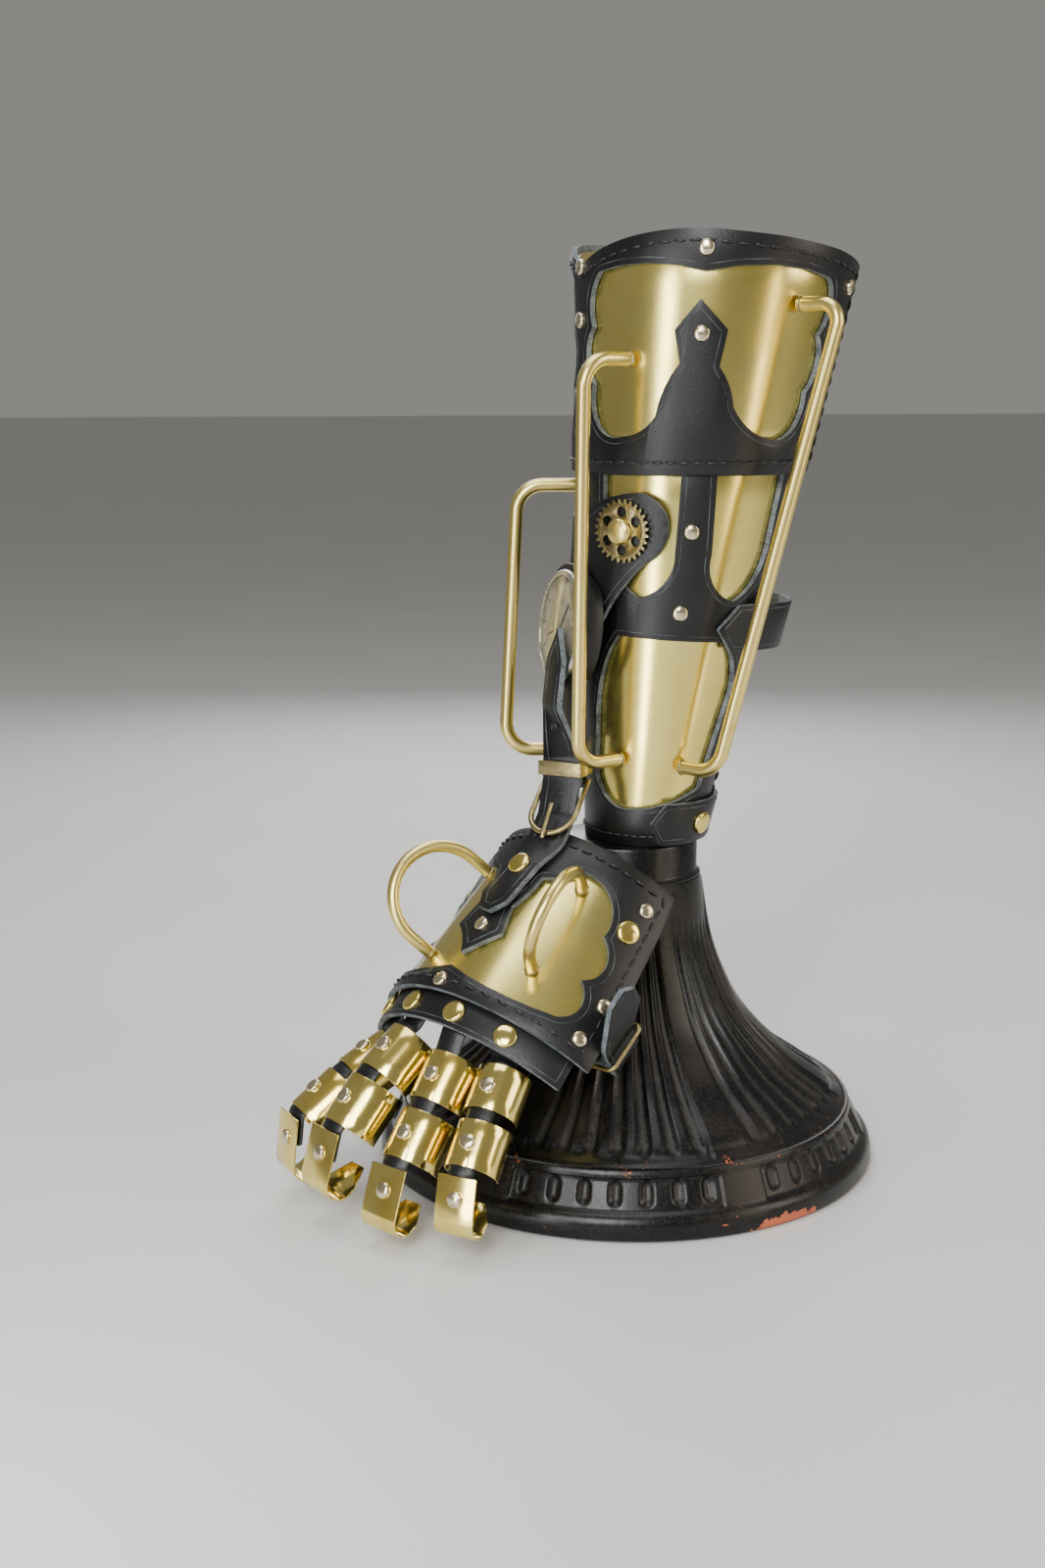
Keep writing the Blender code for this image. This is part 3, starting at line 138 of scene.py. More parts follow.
# Colours of the finishes: the main one, then the one that it blends into
tones = {
    "blackLeather": ((0.0022, 0.0025, 0.0033), (0.0095, 0.0110, 0.0140)),
    "rawLeatherEdge": ((0.030, 0.036, 0.042), (0.20, 0.23, 0.25)),
    "tooledLine": ((0.012, 0.013, 0.016), (0.125, 0.138, 0.155)),
    "waxedThread": ((0.002, 0.002, 0.003), (0.012, 0.013, 0.015)),
    "brushedSheetBrass": ((0.93, 0.80, 0.27), (0.78, 0.61, 0.13)),
    "polishedBrass": ((0.95, 0.79, 0.25), (0.80, 0.58, 0.12)),
    "satinTubeBrass": ((0.87, 0.72, 0.25), (0.58, 0.43, 0.11)),
    "rivetCapBrass": ((0.80, 0.72, 0.50), (0.48, 0.38, 0.20)),
    "antiqueBrass": ((0.25, 0.200, 0.092), (0.46, 0.385, 0.185)),
    "bezelSilver": ((0.78, 0.78, 0.77), (0.50, 0.49, 0.46)),
    "dialPaper": ((0.62, 0.55, 0.38), (0.30, 0.22, 0.11)),
    "dialInk": ((0.010, 0.009, 0.008), (0.070, 0.055, 0.040)),
    "patinatedBronze": ((0.0028, 0.0030, 0.0034), (0.0085, 0.0062, 0.0055)),
    "paleFloor": ((0.60, 0.60, 0.60), (0.66, 0.66, 0.65)),
}
accents = {"fleck": (0.10, 0.07, 0.04), "dust": (0.040, 0.038, 0.035), "copper": (0.52, 0.130, 0.055),
           "lens": (0.97, 0.98, 0.98)}


# Finishes
def blackLeather():
    make = Finish("blackLeather")
    clouds, grain = make.noise(38.0, 4.0), make.noise(1500.0, rough=0.65)
    streaks = make.noise(70.0, stretch=(1.0, 1.0, 0.22))
    pores = make.band(make.cells(620.0), 0.0, 0.5)
    worn = make.band(clouds * 0.6 + streaks * 0.4, 0.48, 0.72) * 0.55 + make.band(grain, 0.6, 0.8) * 0.12
    height = grain * 0.5 + pores * 0.35 + clouds * 1.2
    return make.done(make.tone(worn), 0.33 + streaks * 0.16 - worn * 0.06,
                     make.bump(height, 0.55, 0.00016), Specular_IOR_Level=0.48)


def rawLeather():
    make = Finish("rawLeatherEdge")
    fibre, patches = make.noise(1300.0, 4.0, 0.7), make.noise(160.0)
    share = make.band(fibre * 0.6 + patches * 0.4, 0.36, 0.64)
    return make.done(make.tone(share), 0.92, make.bump(fibre, 0.9, 0.0004))


def tooledLine():
    make = Finish("tooledLine")
    rubbed = make.band(make.noise(90.0, 4.0, 0.7), 0.35, 0.70)
    return make.done(make.tone(rubbed), 0.45, make.bump(rubbed, 0.3, 0.0001))


def waxedThread():
    make = Finish("waxedThread")
    strands = make.noise(2600.0, 2.0, 0.5)
    return make.done(make.tone(strands), 0.38, make.bump(strands, 0.6, 0.0002))


def sheetBrass():
    make = Finish("brushedSheetBrass")
    brush = make.noise(260.0, stretch=(14.0, 14.0, 0.35))
    share = make.band(make.noise(26.0, 4.0, twist=0.6), 0.35, 0.70)
    specks = make.band(make.noise(900.0, 2.0), 0.70, 0.80)
    return make.done(make.tone(share * 0.55 + brush * 0.2),
                     0.15 + brush * 0.09 + share * 0.05 + specks * 0.12,
                     make.bump(brush, 0.16, 0.00005), 1.0)


def polishedBrass():
    make = Finish("polishedBrass")
    share = make.band(make.noise(60.0, 4.0, twist=0.5), 0.38, 0.72)
    scratch = make.noise(420.0, stretch=(1.0, 6.0, 0.6))
    return make.done(make.tone(share), 0.09 + share * 0.08 + scratch * 0.08,
                     make.bump(scratch, 0.12, 0.00005), 1.0)


def tubeBrass():
    make = Finish("satinTubeBrass")
    lines = make.noise(300.0, stretch=(6.0, 6.0, 0.5))
    spots = make.band(make.noise(140.0, 4.0, 0.65), 0.55, 0.75)
    return make.done(make.tone(spots * 0.7 + lines * 0.25), 0.27 + spots * 0.14 + lines * 0.06,
                     make.bump(lines + spots * 0.6, 0.25, 0.00006), 1.0)


def capBrass():
    make = Finish("rivetCapBrass")
    worn = make.band(make.noise(420.0, 4.0, 0.65), 0.42, 0.70)
    return make.done(make.tone(worn), 0.16 + worn * 0.20,
                     make.bump(make.noise(240.0, 2.0, 0.5), 0.35, 0.0003), 1.0)


def antiqueBrass():
    make = Finish("antiqueBrass")
    rub, pits = make.band(make.noise(380.0, 4.0), 0.30, 0.72), make.noise(1400.0)
    return make.done(make.tone(rub), 0.38 - rub * 0.12,
                     make.bump(pits * 0.5 + rub * 0.3, 0.25, 0.0001), 1.0)


def bezelSilver():
    make = Finish("bezelSilver")
    ring, haze = make.noise(500.0), make.band(make.noise(120.0, 4.0), 0.4, 0.7)
    return make.done(make.tone(haze), 0.16 + haze * 0.14 + ring * 0.05,
                     make.bump(ring, 0.10, 0.00005), 1.0)


def dialPaper():
    make = Finish("dialPaper")
    stain = make.band(make.noise(90.0, 5.0, 0.65, twist=0.8), 0.36, 0.72)
    flecks = make.band(make.noise(800.0), 0.62, 0.74)
    return make.done(make.blend(flecks * 0.6, make.tone(stain), tint(accents["fleck"])),
                     0.48 + stain * 0.12, make.bump(flecks, 0.2, 0.0001))


def dialInk():
    make = Finish("dialInk")
    faded = make.noise(500.0)
    return make.done(make.tone(faded), 0.5, make.bump(faded, 0.1, 0.0001))


def dialGlass():
    make = Finish("dialGlass")
    return make.done(tint(accents["lens"]), 0.02 + make.noise(60.0, 4.0) * 0.05,
                     Transmission_Weight=1.0, IOR=1.45)


def patinatedBronze():
    look = {"rim": (0.0135, 0.0030), "rimRadius": (0.106, 0.112), "ledgeLow": (0.0215, 0.0262),
            "ledgeHigh": (0.0300, 0.0272), "patchX": 0.028, "patchY": -0.110, "patchRise": 3.2,
            "patchReach": (0.036, 0.006), "scuffFade": (0.10, 0.02)}
    make = Finish("patinatedBronze")
    x, y, z = make.axis("X"), make.axis("Y"), make.axis("Z")
    clouds, fine = make.noise(28.0, 5.0), make.noise(700.0)
    chips = make.noise(95.0, 6.0, 0.72, twist=0.4)
    rim = make.band(z, *look["rim"]) * make.band((x * x + y * y).root(), *look["rimRadius"])
    ledge = make.band(z, *look["ledgeLow"]) * make.band(z, *look["ledgeHigh"])
    aside, ahead, above = x - look["patchX"], y - look["patchY"], z * look["patchRise"]
    near = make.band((aside * aside + ahead * ahead + above * above).root(), *look["patchReach"])
    worn = make.band(near * 0.30 + chips * 0.60 + clouds * 0.10, 0.545, 0.553)   # the large patch
    patch = make.band(clouds * 0.45 + chips * 0.55, 0.612, 0.622).most(worn) * rim
    nicks = make.band(chips * 0.6 + fine * 0.4, 0.590, 0.615) * ledge
    scuffs = make.band(chips, 0.70, 0.72) * make.band(z, *look["scuffFade"]) * 0.8
    bare = patch.most(nicks).most(scuffs)
    dusty = make.band(fine * 0.5 + clouds * 0.5, 0.42, 0.66)
    hollow = make.node("ShaderNodeAttribute", {"attribute_name": "hollow"}, output="Fac")
    settled = make.band(hollow, 0.45, 0.95) * (0.35 + dusty * 0.65)
    base = make.tone(make.band(clouds, 0.45, 0.7))
    base = make.blend((dusty * 0.22).most(settled), base, tint(accents["dust"]))
    return make.done(make.blend(bare, base, tint(accents["copper"])),
                     0.27 + dusty * 0.16 + settled * 0.30 + bare * 0.2,
                     make.bump(fine * 0.35 + clouds * 0.6 - bare * 0.8, 0.35, 0.0004), 0.30 - bare * 0.2)


leatherSkin, leatherRaw, lineTool, thread = blackLeather(), rawLeather(), tooledLine(), waxedThread()
brassSheet, brassPolished, brassTube = sheetBrass(), polishedBrass(), tubeBrass()
brassCap, brassAntique, silver = capBrass(), antiqueBrass(), bezelSilver()
paper, ink, glass, bronze = dialPaper(), dialInk(), dialGlass(), patinatedBronze()
print("finishes made")


# Working on one piece at a time
def pick(thing):
    if bpy.context.object and bpy.context.object.mode != "OBJECT":
        bpy.ops.object.mode_set(mode="OBJECT")
    bpy.ops.object.select_all(action="DESELECT")
    thing.select_set(True)
    bpy.context.view_layer.objects.active = thing


def settle(thing, finishes, nodes=(), smooth=35.0):
    pick(thing)
    thing.data.materials.clear()
    for finish in finishes:
        thing.data.materials.append(finish)
    bpy.ops.object.shade_smooth_by_angle(angle=math.radians(smooth))
    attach(thing, "root")
    if nodes:
        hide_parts(*nodes)
    return thing


def applyBevel(thing, width, segments=2):
    pick(thing)
    bevel = thing.modifiers.new("edge", "BEVEL")
    bevel.width, bevel.segments = width, segments
    bevel.limit_method, bevel.angle_limit = "ANGLE", rounding["angle"]
    bevel.use_clamp_overlap = True
    bpy.ops.object.modifier_apply(modifier="edge")


def editAll(thing):
    pick(thing)
    bpy.ops.object.mode_set(mode="EDIT")
    bpy.ops.mesh.select_all(action="SELECT")


def turnOut(thing, threshold=0.0):
    editAll(thing)
    if threshold:
        bpy.ops.mesh.remove_doubles(threshold=threshold)
    bpy.ops.mesh.normals_make_consistent(inside=False)
    bpy.ops.object.mode_set(mode="OBJECT")


def added(operator, **values):
    bpy.ops.object.select_all(action="DESELECT")
    operator(**values)
    return bpy.context.object


def meshPiece(name, points, faces):
    mesh = bpy.data.meshes.new(name)
    mesh.from_pydata(points, [], faces)
    thing = bpy.data.objects.new(name, mesh)
    bpy.context.scene.collection.objects.link(thing)
    return thing


# Outlines: rows hold shares of a width and a height, and the bulge of the arc that follows
def corners(*points):
    return [Vector(point) for point in points]


def rectangle(half, low, high):
    return [(-half, low), (half, low), (half, high), (-half, high)]


def cutEnd(half, length, slope, flat):
    return corners((half, length - half * slope), (half * flat, length), (-half * flat, length),
                   (-half, length - half * slope))


def mirrored(rows):
    return [(-rows[index][0], rows[index][1], rows[index - 1][2])
            for index in range(len(rows) - 1, -1, -1)]


def drawn(rows, width, height, arcStep=math.radians(7)):
    points = []
    for index, (across, along, bulge) in enumerate(rows):
        after = rows[(index + 1) % len(rows)]
        start, end = corners((across * width, along * height), (after[0] * width, after[1] * height))
        points.append(start)
        if bulge:
            sweep = 4 * math.atan(bulge)
            chord = end - start
            normal = Vector((chord.y, -chord.x))
            centre = (start + end) / 2 - normal * (1 - bulge * bulge) / (4 * bulge)
            count = max(2, round(abs(sweep) / arcStep))
            for step in range(1, count):
                points.append(centre + Matrix.Rotation(sweep * step / count, 2) @ (start - centre))
    return points


def ringArea(ring):
    return sum(a.x * b.y - b.x * a.y for a, b in zip(ring, ring[1:] + ring[:1])) / 2


def nearest(point, ring):
    best = 1.0
    for start, end in zip(ring, ring[1:] + ring[:1]):
        along = end - start
        share = min(max((point - start).dot(along) / max(along.length_squared, 1e-12), 0.0), 1.0)
        best = min(best, (start + along * share - point).length)
    return best


def spaced(ring, pitch, closed=True):
    track = ring + ring[:1] if closed else ring
    points, carry = [track[0].copy()], 0.0
    for start, end in zip(track, track[1:]):
        length = (end - start).length
        while length > 0 and carry + length >= pitch:
            share = (pitch - carry) / length
            start = start.lerp(end, share)
            length *= 1 - share
            points.append(start.copy())
            carry = 0.0
        carry += length
    return points


def offsetRing(ring, inset):
    # at a constant distance from the outline: inwards where the inset is above 0
    turn, pitch, tolerance = 1 if ringArea(ring) > 0 else -1, 0.0012, 0.965
    dense = spaced(ring, pitch)
    result = []
    for index, point in enumerate(dense):
        before, after = dense[index - 1], dense[(index + 1) % len(dense)]
        for way in (point - before, after - point):
            if way.length < 1e-7:
                continue
            way = way.normalized()
            moved = point + Vector((-way.y, way.x)) * turn * inset
            if nearest(moved, ring) > abs(inset) * tolerance:
                result.append(moved)
    return result


# Bent sheets
def flatPattern(name, outline, holes):
    curve = bpy.data.curves.new(name, "CURVE")
    curve.dimensions, curve.fill_mode, curve.extrude = "2D", "BOTH", 0.5
    for ring in (outline, *holes):
        spline = curve.splines.new("POLY")
        spline.points.add(len(ring) - 1)
        for point, corner in zip(spline.points, ring):
            point.co = (corner[0], corner[1], 0.0, 1.0)
        spline.use_cyclic_u = True
    thing = bpy.data.objects.new(name, curve)
    bpy.context.scene.collection.objects.link(thing)
    pick(thing)
    bpy.ops.object.convert(target="MESH")
    thing = bpy.context.object
    editAll(thing)
    bpy.ops.mesh.remove_doubles(threshold=weld)
    bpy.ops.mesh.dissolve_limited(angle_limit=math.radians(0.1))
    return thing


def steps(low, high, size):
    count = max(1, round((high - low) / size))
    return [low + (high - low) * index / count for index in range(1, count)]


def bentSheet(name, outline, place, inner, outer, slotName, finishes, nodes=(), holes=(), across=(),
              along=(), edge=rounding["brass"]):
    thing = flatPattern(name, outline, holes)
    for places, way in ((across, Vector((1, 0, 0))), (along, Vector((0, 1, 0)))):
        for value in places:
            bpy.ops.mesh.select_all(action="SELECT")
            bpy.ops.mesh.bisect(plane_co=way * value, plane_no=way, threshold=0.0000001)
    bpy.ops.object.mode_set(mode="OBJECT")
    mesh = thing.data
    front = [vert.co.z > 0 for vert in mesh.vertices]
    for polygon in mesh.polygons:
        polygon.material_index = 0 if all(front[index] for index in polygon.vertices) else 1
    for vert in mesh.vertices:
        vert.co = place(vert.co.x, vert.co.y, outer if vert.co.z > 0 else inner)
    turnOut(thing)
    applyBevel(thing, edge)
    kept = [polygon.material_index for polygon in thing.data.polygons]
    settle(thing, finishes, nodes)
    if len(finishes) > 1:
        for polygon, index in zip(thing.data.polygons, kept):
            polygon.material_index = index
    return thing


def leatherSheet(name, outline, place, inner, outer, nodes=(), **rest):
    return bentSheet(name, outline, place, inner, outer, "leather", (leatherSkin, leatherRaw), nodes,
                     edge=rounding["leather"], **rest)


def brassSheetPiece(name, outline, place, inner, outer, nodes=(), finish=None, slotName="brass", **rest):
    return bentSheet(name, outline, place, inner, outer, slotName, (finish or brassSheet,), nodes, **rest)


# Lines pressed into the leather, and rows of stitches
def roundBar(name, points, diameter, finish, nodes=(), closed=False, detail=5):
    curve = bpy.data.curves.new(name, "CURVE")
    curve.dimensions = "3D"
    curve.bevel_depth, curve.bevel_resolution = diameter / 2, detail
    curve.use_fill_caps = not closed
    rows = points if isinstance(points[0], list) else [points]
    for row in rows:
        spline = curve.splines.new("POLY")
        spline.points.add(len(row) - 1)
        for point, spot in zip(spline.points, row):
            point.co = (*spot, 1.0)
        spline.use_cyclic_u = closed
    thing = bpy.data.objects.new(name, curve)
    bpy.context.scene.collection.objects.link(thing)
    pick(thing)
    bpy.ops.object.convert(target="MESH")
    thing = bpy.context.object
    turnOut(thing, weld)
    return settle(thing, (finish,), nodes, smooth=50)


lineWidth = 0.00034   # the insets below 0 lie outside a window
lineInset = {"forearm": -0.0022, "cuff": -0.0024, "closingStrap": 0.0022, "carrier": 0.0024,
             "hand": -0.0024, "knuckle": 0.0022, "buckleStrap": 0.0030, "palmStrap": 0.0023}
stitchInset = {"foot": 0.0045, "side": 0.004, "sideFoot": 0.006, "sideTop": 0.003, "cuff": 0.0048,
               "hand": 0.0050}
bendSize = {"sleeve": 0.02, "strap": 0.002, "carrier": 0.004, "hand": 0.01, "arc": 0.0025,
            "finger": 0.0016, "ring": 0.005, "ringTurn": math.radians(5)}
stitch = {"pitch": 0.0064, "length": 0.0050, "width": 0.0013, "flat": 0.8, "dip": 0.35, "lift": 0.02,
          "lean": 0.06}


def tooledLines(name, rings, piece, place, lift):
    rows = [[place(point.x, point.y, lift) for point in offsetRing(ring, lineInset[piece])]
            for ring in rings]
    return roundBar(name, rows, lineWidth, lineTool, closed=True, detail=1)


def stitchRow(name, lines, place, lift):
    # one stitch is modelled, then copied along the lines
    model = added(bpy.ops.mesh.primitive_uv_sphere_add, segments=8, ring_count=6, radius=0.5)
    width, length = stitch["width"], stitch["length"]
    for vert in model.data.vertices:
        x, y, z = vert.co
        dip = stitch["dip"] * width * (1 - 4 * z * z) ** 0.5 if abs(z) < 0.5 else 0.0
        vert.co = (x * width, y * width * stitch["flat"] + dip + width * stitch["lift"], z * length)
    chance, places = random.Random(name), []
    for line, closed in lines:
        marks = spaced(line, stitch["pitch"] / 8, closed)
        for index in range(4, len(marks) - 4, 8):
            lean = chance.uniform(-stitch["lean"], stitch["lean"])
            start, end = marks[index - 3], marks[index + 3]
            way = (end - start).normalized()
            aside = Vector((-way.y, way.x)) * lean * length
            ahead = (place(*(end - aside), lift) - place(*(start + aside), lift)).normalized()
            middle = place(*marks[index], lift)
            out = (place(*marks[index], lift + 0.001) - middle).normalized()
            matrix = Matrix((out.cross(ahead), out, ahead)).transposed().to_4x4()
            matrix.translation = middle
            places.append(matrix)
    thing = placedCopies(name, model, places)
    turnOut(thing)
    return settle(thing, (thread,), smooth=80)


# Paths that straps and bars follow
def ramp(value, start, end):
    return min(max((value - start) / (end - start), 0.0), 1.0)


def eased(share):
    return share * share * (3 - 2 * share)


def rounded(points, radius, pieces=10):
    result = [points[0].copy()]
    for before, corner, after in zip(points, points[1:], points[2:]):
        back, ahead = (before - corner).normalized(), (after - corner).normalized()
        half = back.angle(ahead) / 2
        if half > math.radians(88.5):
            result.append(corner.copy())
            continue
        room = 0.48 * min((before - corner).length, (after - corner).length)
        reach = min(radius / math.tan(half), room)
        size = reach * math.tan(half)
        centre = corner + (back + ahead).normalized() * (size / math.sin(half))
        start, end = corner + back * reach - centre, corner + ahead * reach - centre
        sweep = start.angle(end)
        count = max(3, math.ceil(sweep / math.radians(90) * pieces))
        for step in range(count + 1):
            share = step / count
            weight = math.sin((1 - share) * sweep) * start + math.sin(share * sweep) * end
            result.append(centre + weight / math.sin(sweep))
    result.append(points[-1].copy())
    return result


class Route:
    def __init__(self, points, sides):
        self.points, self.marks = points, [0.0]
        for first, second in zip(points, points[1:]):
            self.marks.append(self.marks[-1] + (second - first).length)
        self.sides, self.normals, self.length = [], [], self.marks[-1]
        for index, point in enumerate(points):
            before, after = points[max(index - 1, 0)], points[min(index + 1, len(points) - 1)]
            ahead = ((point - before).normalized() + (after - point).normalized()).normalized()
            side = sides(self.marks[index] / self.length)
            side = (side - ahead * side.dot(ahead)).normalized()
            self.sides.append(side)
            self.normals.append(ahead.cross(side))

    def at(self, across, along, lift):
        index = 0
        while index < len(self.marks) - 2 and along > self.marks[index + 1]:
            index += 1
        share = (along - self.marks[index]) / (self.marks[index + 1] - self.marks[index])
        point = self.points[index].lerp(self.points[index + 1], share)
        side = self.sides[index].lerp(self.sides[index + 1], share).normalized()
        normal = self.normals[index].lerp(self.normals[index + 1], share).normalized()
        return point + side * across + normal * lift


# Turned pieces and rivet caps
def turned(name, profile, count=48):
    thing = meshPiece(name, [(radius, 0.0, height) for radius, height in profile], [])
    thing.data.edges.add(len(profile) - 1)
    for index, edge in enumerate(thing.data.edges):
        edge.vertices = (index, index + 1)
    thing.data.update()
    editAll(thing)
    bpy.ops.mesh.spin(steps=count, angle=math.tau, center=(0, 0, 0), axis=(0, 0, 1), dupli=False)
    turnOut(thing, weld)
    return thing


def turnedPiece(name, profile, count, place, finish, nodes=(), smooth=35.0):
    thing = turned(name, profile, count)
    thing.data.transform(place)
    return settle(thing, (finish,), nodes, smooth)


def placedCopies(name, model, places):
    points, allFaces = [], []
    verts = [vert.co.copy() for vert in model.data.vertices]
    faces = [tuple(polygon.vertices) for polygon in model.data.polygons]
    for place in places:
        base = len(points)
        points += [place @ vert for vert in verts]
        allFaces += [tuple(base + corner for corner in face) for face in faces]
    bpy.data.objects.remove(model, do_unlink=True)
    return meshPiece(name, points, allFaces)


dome = {"foot": -0.0004, "lip": 0.97, "top": 0.965, "low": 0.10, "high": 0.30, "shoulder": 0.44,
        "rings": 7}


def domeProfile(radius, rise):
    rows = [(0.0, dome["foot"]), (radius * dome["lip"], dome["foot"]), (radius, rise * dome["low"]),
            (radius, rise * dome["high"]), (radius * dome["top"], rise * dome["shoulder"])]
    for step in range(1, dome["rings"]):
        turn = math.radians(90) * step / dome["rings"]
        rows.append((radius * dome["top"] * math.cos(turn),
                     rise * (dome["shoulder"] + (1 - dome["shoulder"]) * math.sin(turn))))
    return rows + [(0.0, rise)]


def standing(point, normal, side):
    across = (side - normal * side.dot(normal)).normalized()
    matrix = Matrix((across, normal.cross(across), normal)).transposed().to_4x4()
    matrix.translation = point
    return matrix


# The sleeve's surface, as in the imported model
sleeveShape = {"bottom": 0.148, "height": 0.2495, "wristDepth": 0.0227, "wristWidth": 0.0270,
               "elbowDepth": 0.0586, "elbowWidth": 0.0579, "wristShift": 0.0072,
               "elbowShift": 0.0384, "wrap": math.radians(148), "plateWrap": math.radians(146),
               "radius": 0.042, "cuffRadius": 0.058, "band": 0.1705, "drop": 0.0075,
               "tuck": 0.0015, "inset": 0.003, "bend": math.radians(2.5)}
cuffBottom = sleeveShape["band"] - sleeveShape["drop"]
cuffHeight = sleeveShape["height"] - cuffBottom


def sleeve(angle, height, lift):
    s = sleeveShape
    share = height / s["height"]
    middle = s["wristShift"] + (s["elbowShift"] - s["wristShift"]) * share
    depth = s["wristDepth"] + (s["elbowDepth"] - s["wristDepth"]) * share + lift
    width = s["wristWidth"] + (s["elbowWidth"] - s["wristWidth"]) * share + lift
    return Vector((middle - depth * math.cos(angle), -width * math.sin(angle), s["bottom"] + height))


def cuffSurface(angle, height, lift):
    return sleeve(angle, height, lift - sleeveShape["tuck"] * (height - cuffBottom) / cuffHeight)


def surfaceNormal(surface, angle, height):
    around = surface(angle + 0.01, height, 0) - surface(angle - 0.01, height, 0)
    rising = surface(angle, height + 0.001, 0) - surface(angle, height - 0.001, 0)
    return rising.cross(around).normalized() * -1


cuffWindow = ((0.070, 0.705, 0.45), (0.077, 0.432, 0.62), (0.216, 0.180, 0.25), (0.316, 0.275, -0.13),
              (0.375, 0.527, 0.0), (0.352, 0.680, 0.0), (0.414, 0.823, 0.0), (0.497, 0.680, 0.0),
              (0.487, 0.510, -0.13), (0.545, 0.320, 0.25), (0.713, 0.162, 0.50),
              (0.800, 0.390, 0.45), (0.800, 0.660, 0.45), (0.790, 0.930, 0.12),
              (0.419, 0.952, 0.12), (0.100, 0.965, 0.35))
cuffTop = ((-1.0, 0.0, 0.0), (1.0, 0.0, 0.0), (1.0, 1.0, 0.03), (0.42, 1.145, 0.12), (0.0, 1.0, 0.12),
           (-0.42, 1.145, 0.03), (-1.0, 1.0, 0.0))
upperBackWindow = ((0.115, 0.952, 0.0), (0.115, 0.800, 0.22), (0.289, 0.648, 0.42),
                   (0.422, 0.757, 0.0), (0.414, 0.952, 0.0))
upperFrontWindow = ((0.534, 0.952, 0.0), (0.561, 0.757, 0.40), (0.696, 0.637, 0.30),
                    (0.838, 0.762, 0.0), (0.818, 0.952, 0.0))
lowerWindow = ((0.078, 0.360, 0.0), (0.064, 0.175, 0.25), (0.300, 0.096, 0.08), (0.757, 0.150, 0.0),
               (0.838, 0.410, 0.18), (0.701, 0.533, 0.0), (0.206, 0.549, 0.14))


def buildSleeve():
    s = sleeveShape
    half, band = s["wrap"] * s["radius"], s["band"]

    def onSleeve(x, y, lift):
        return sleeve(x / s["radius"], y, lift)

    windows = []
    for rows in (upperBackWindow, upperFrontWindow, lowerWindow):
        windows += [drawn(rows, half, band), drawn(mirrored(rows), half, band)]
    bends, levels = steps(-half, half, s["bend"] * s["radius"]), steps(0, band, bendSize["sleeve"])
    leatherSheet("forearmLeather", rectangle(half, 0, band), onSleeve, gap, stack, ("forearm_leather",),
                 holes=windows, across=bends, along=levels)
    plateEdge = rectangle(s["plateWrap"] * s["radius"], s["inset"], band)
    brassSheetPiece("forearmPlate", plateEdge, onSleeve, -brass, 0.0, ("forearm_plate",),
                    across=bends, along=levels)
    tooledLines("forearmLines", windows, "forearm", onSleeve, stack)
    side, foot = half - stitchInset["side"], stitchInset["foot"]
    rows = [corners((-side, foot), (side, foot))]
    rows += [corners((turn * side, stitchInset["sideFoot"]),
                     (turn * side, cuffBottom - stitchInset["sideTop"])) for turn in (-1, 1)]
    stitchRow("forearmStitches", [(row, False) for row in rows], onSleeve, stack)


def buildCuff():
    s = sleeveShape
    half, arcStep = s["wrap"] * s["cuffRadius"], math.radians(2)

    def onCuff(x, y, lift):
        return cuffSurface(x / s["cuffRadius"], cuffBottom + y, lift)

    windows = [drawn(rows, half, cuffHeight) for rows in (cuffWindow, mirrored(cuffWindow))]
    bends = steps(-half, half, s["bend"] * s["cuffRadius"])
    edge = drawn(cuffTop, half, cuffHeight, arcStep)
    leatherSheet("cuffLeather", edge, onCuff, stack + gap, secondStack, ("cuff_leather",), holes=windows,
                 across=bends, along=steps(0, cuffHeight, bendSize["sleeve"]))
    low, inset = (s["drop"] + s["inset"]) / cuffHeight, s["inset"] / cuffHeight
    rows = [(across, max(low, along - inset), bulge) for across, along, bulge in cuffTop]
    plateEdge = drawn(rows, s["plateWrap"] * s["cuffRadius"], cuffHeight, arcStep)
    brassSheetPiece("cuffPlate", plateEdge, onCuff, stack - brass, stack, ("cuff_plate",),
                    across=bends, along=steps(0, cuffHeight * 1.1, bendSize["sleeve"]))
    tooledLines("cuffLines", windows, "cuff", onCuff, secondStack)
    stitchRow("cuffStitches", [(offsetRing(edge, stitchInset["cuff"]), True)], onCuff, secondStack)


sleeveStraps = (
    # name, node, height, angle of the point, width, slack off the sleeve
    ("forearmStrap", "forearm_strap", 0.0968, math.radians(94.0), 0.0205, 0.0090),
    ("wristStrap", "wrist_strap", 0.0105, math.radians(67.4), 0.0185, 0.0),
)
strapPoint, strapSwell = 0.45, math.radians(40)


def buildSleeveStraps():
    radius = sleeveShape["radius"]
    for name, node, height, tip, width, slack in sleeveStraps:
        reach = (math.pi - tip) * radius
        shoulder, half = reach - width * strapPoint, width / 2

        def around(x, y, lift):
            off = eased(ramp(-abs(x), -shoulder, strapSwell * radius - shoulder))
            return sleeve(math.pi + x / radius, height + y, lift + slack * off)

        edge = corners((-reach, 0), (-shoulder, -half), (shoulder, -half), (reach, 0),
                       (shoulder, half), (-shoulder, half))
        leatherSheet(name, edge, around, stack + gap, secondStack, (node,),
                     across=steps(-reach, reach, bendSize["strap"]))
        tooledLines(name + "Lines", [edge], "closingStrap", around, secondStack)


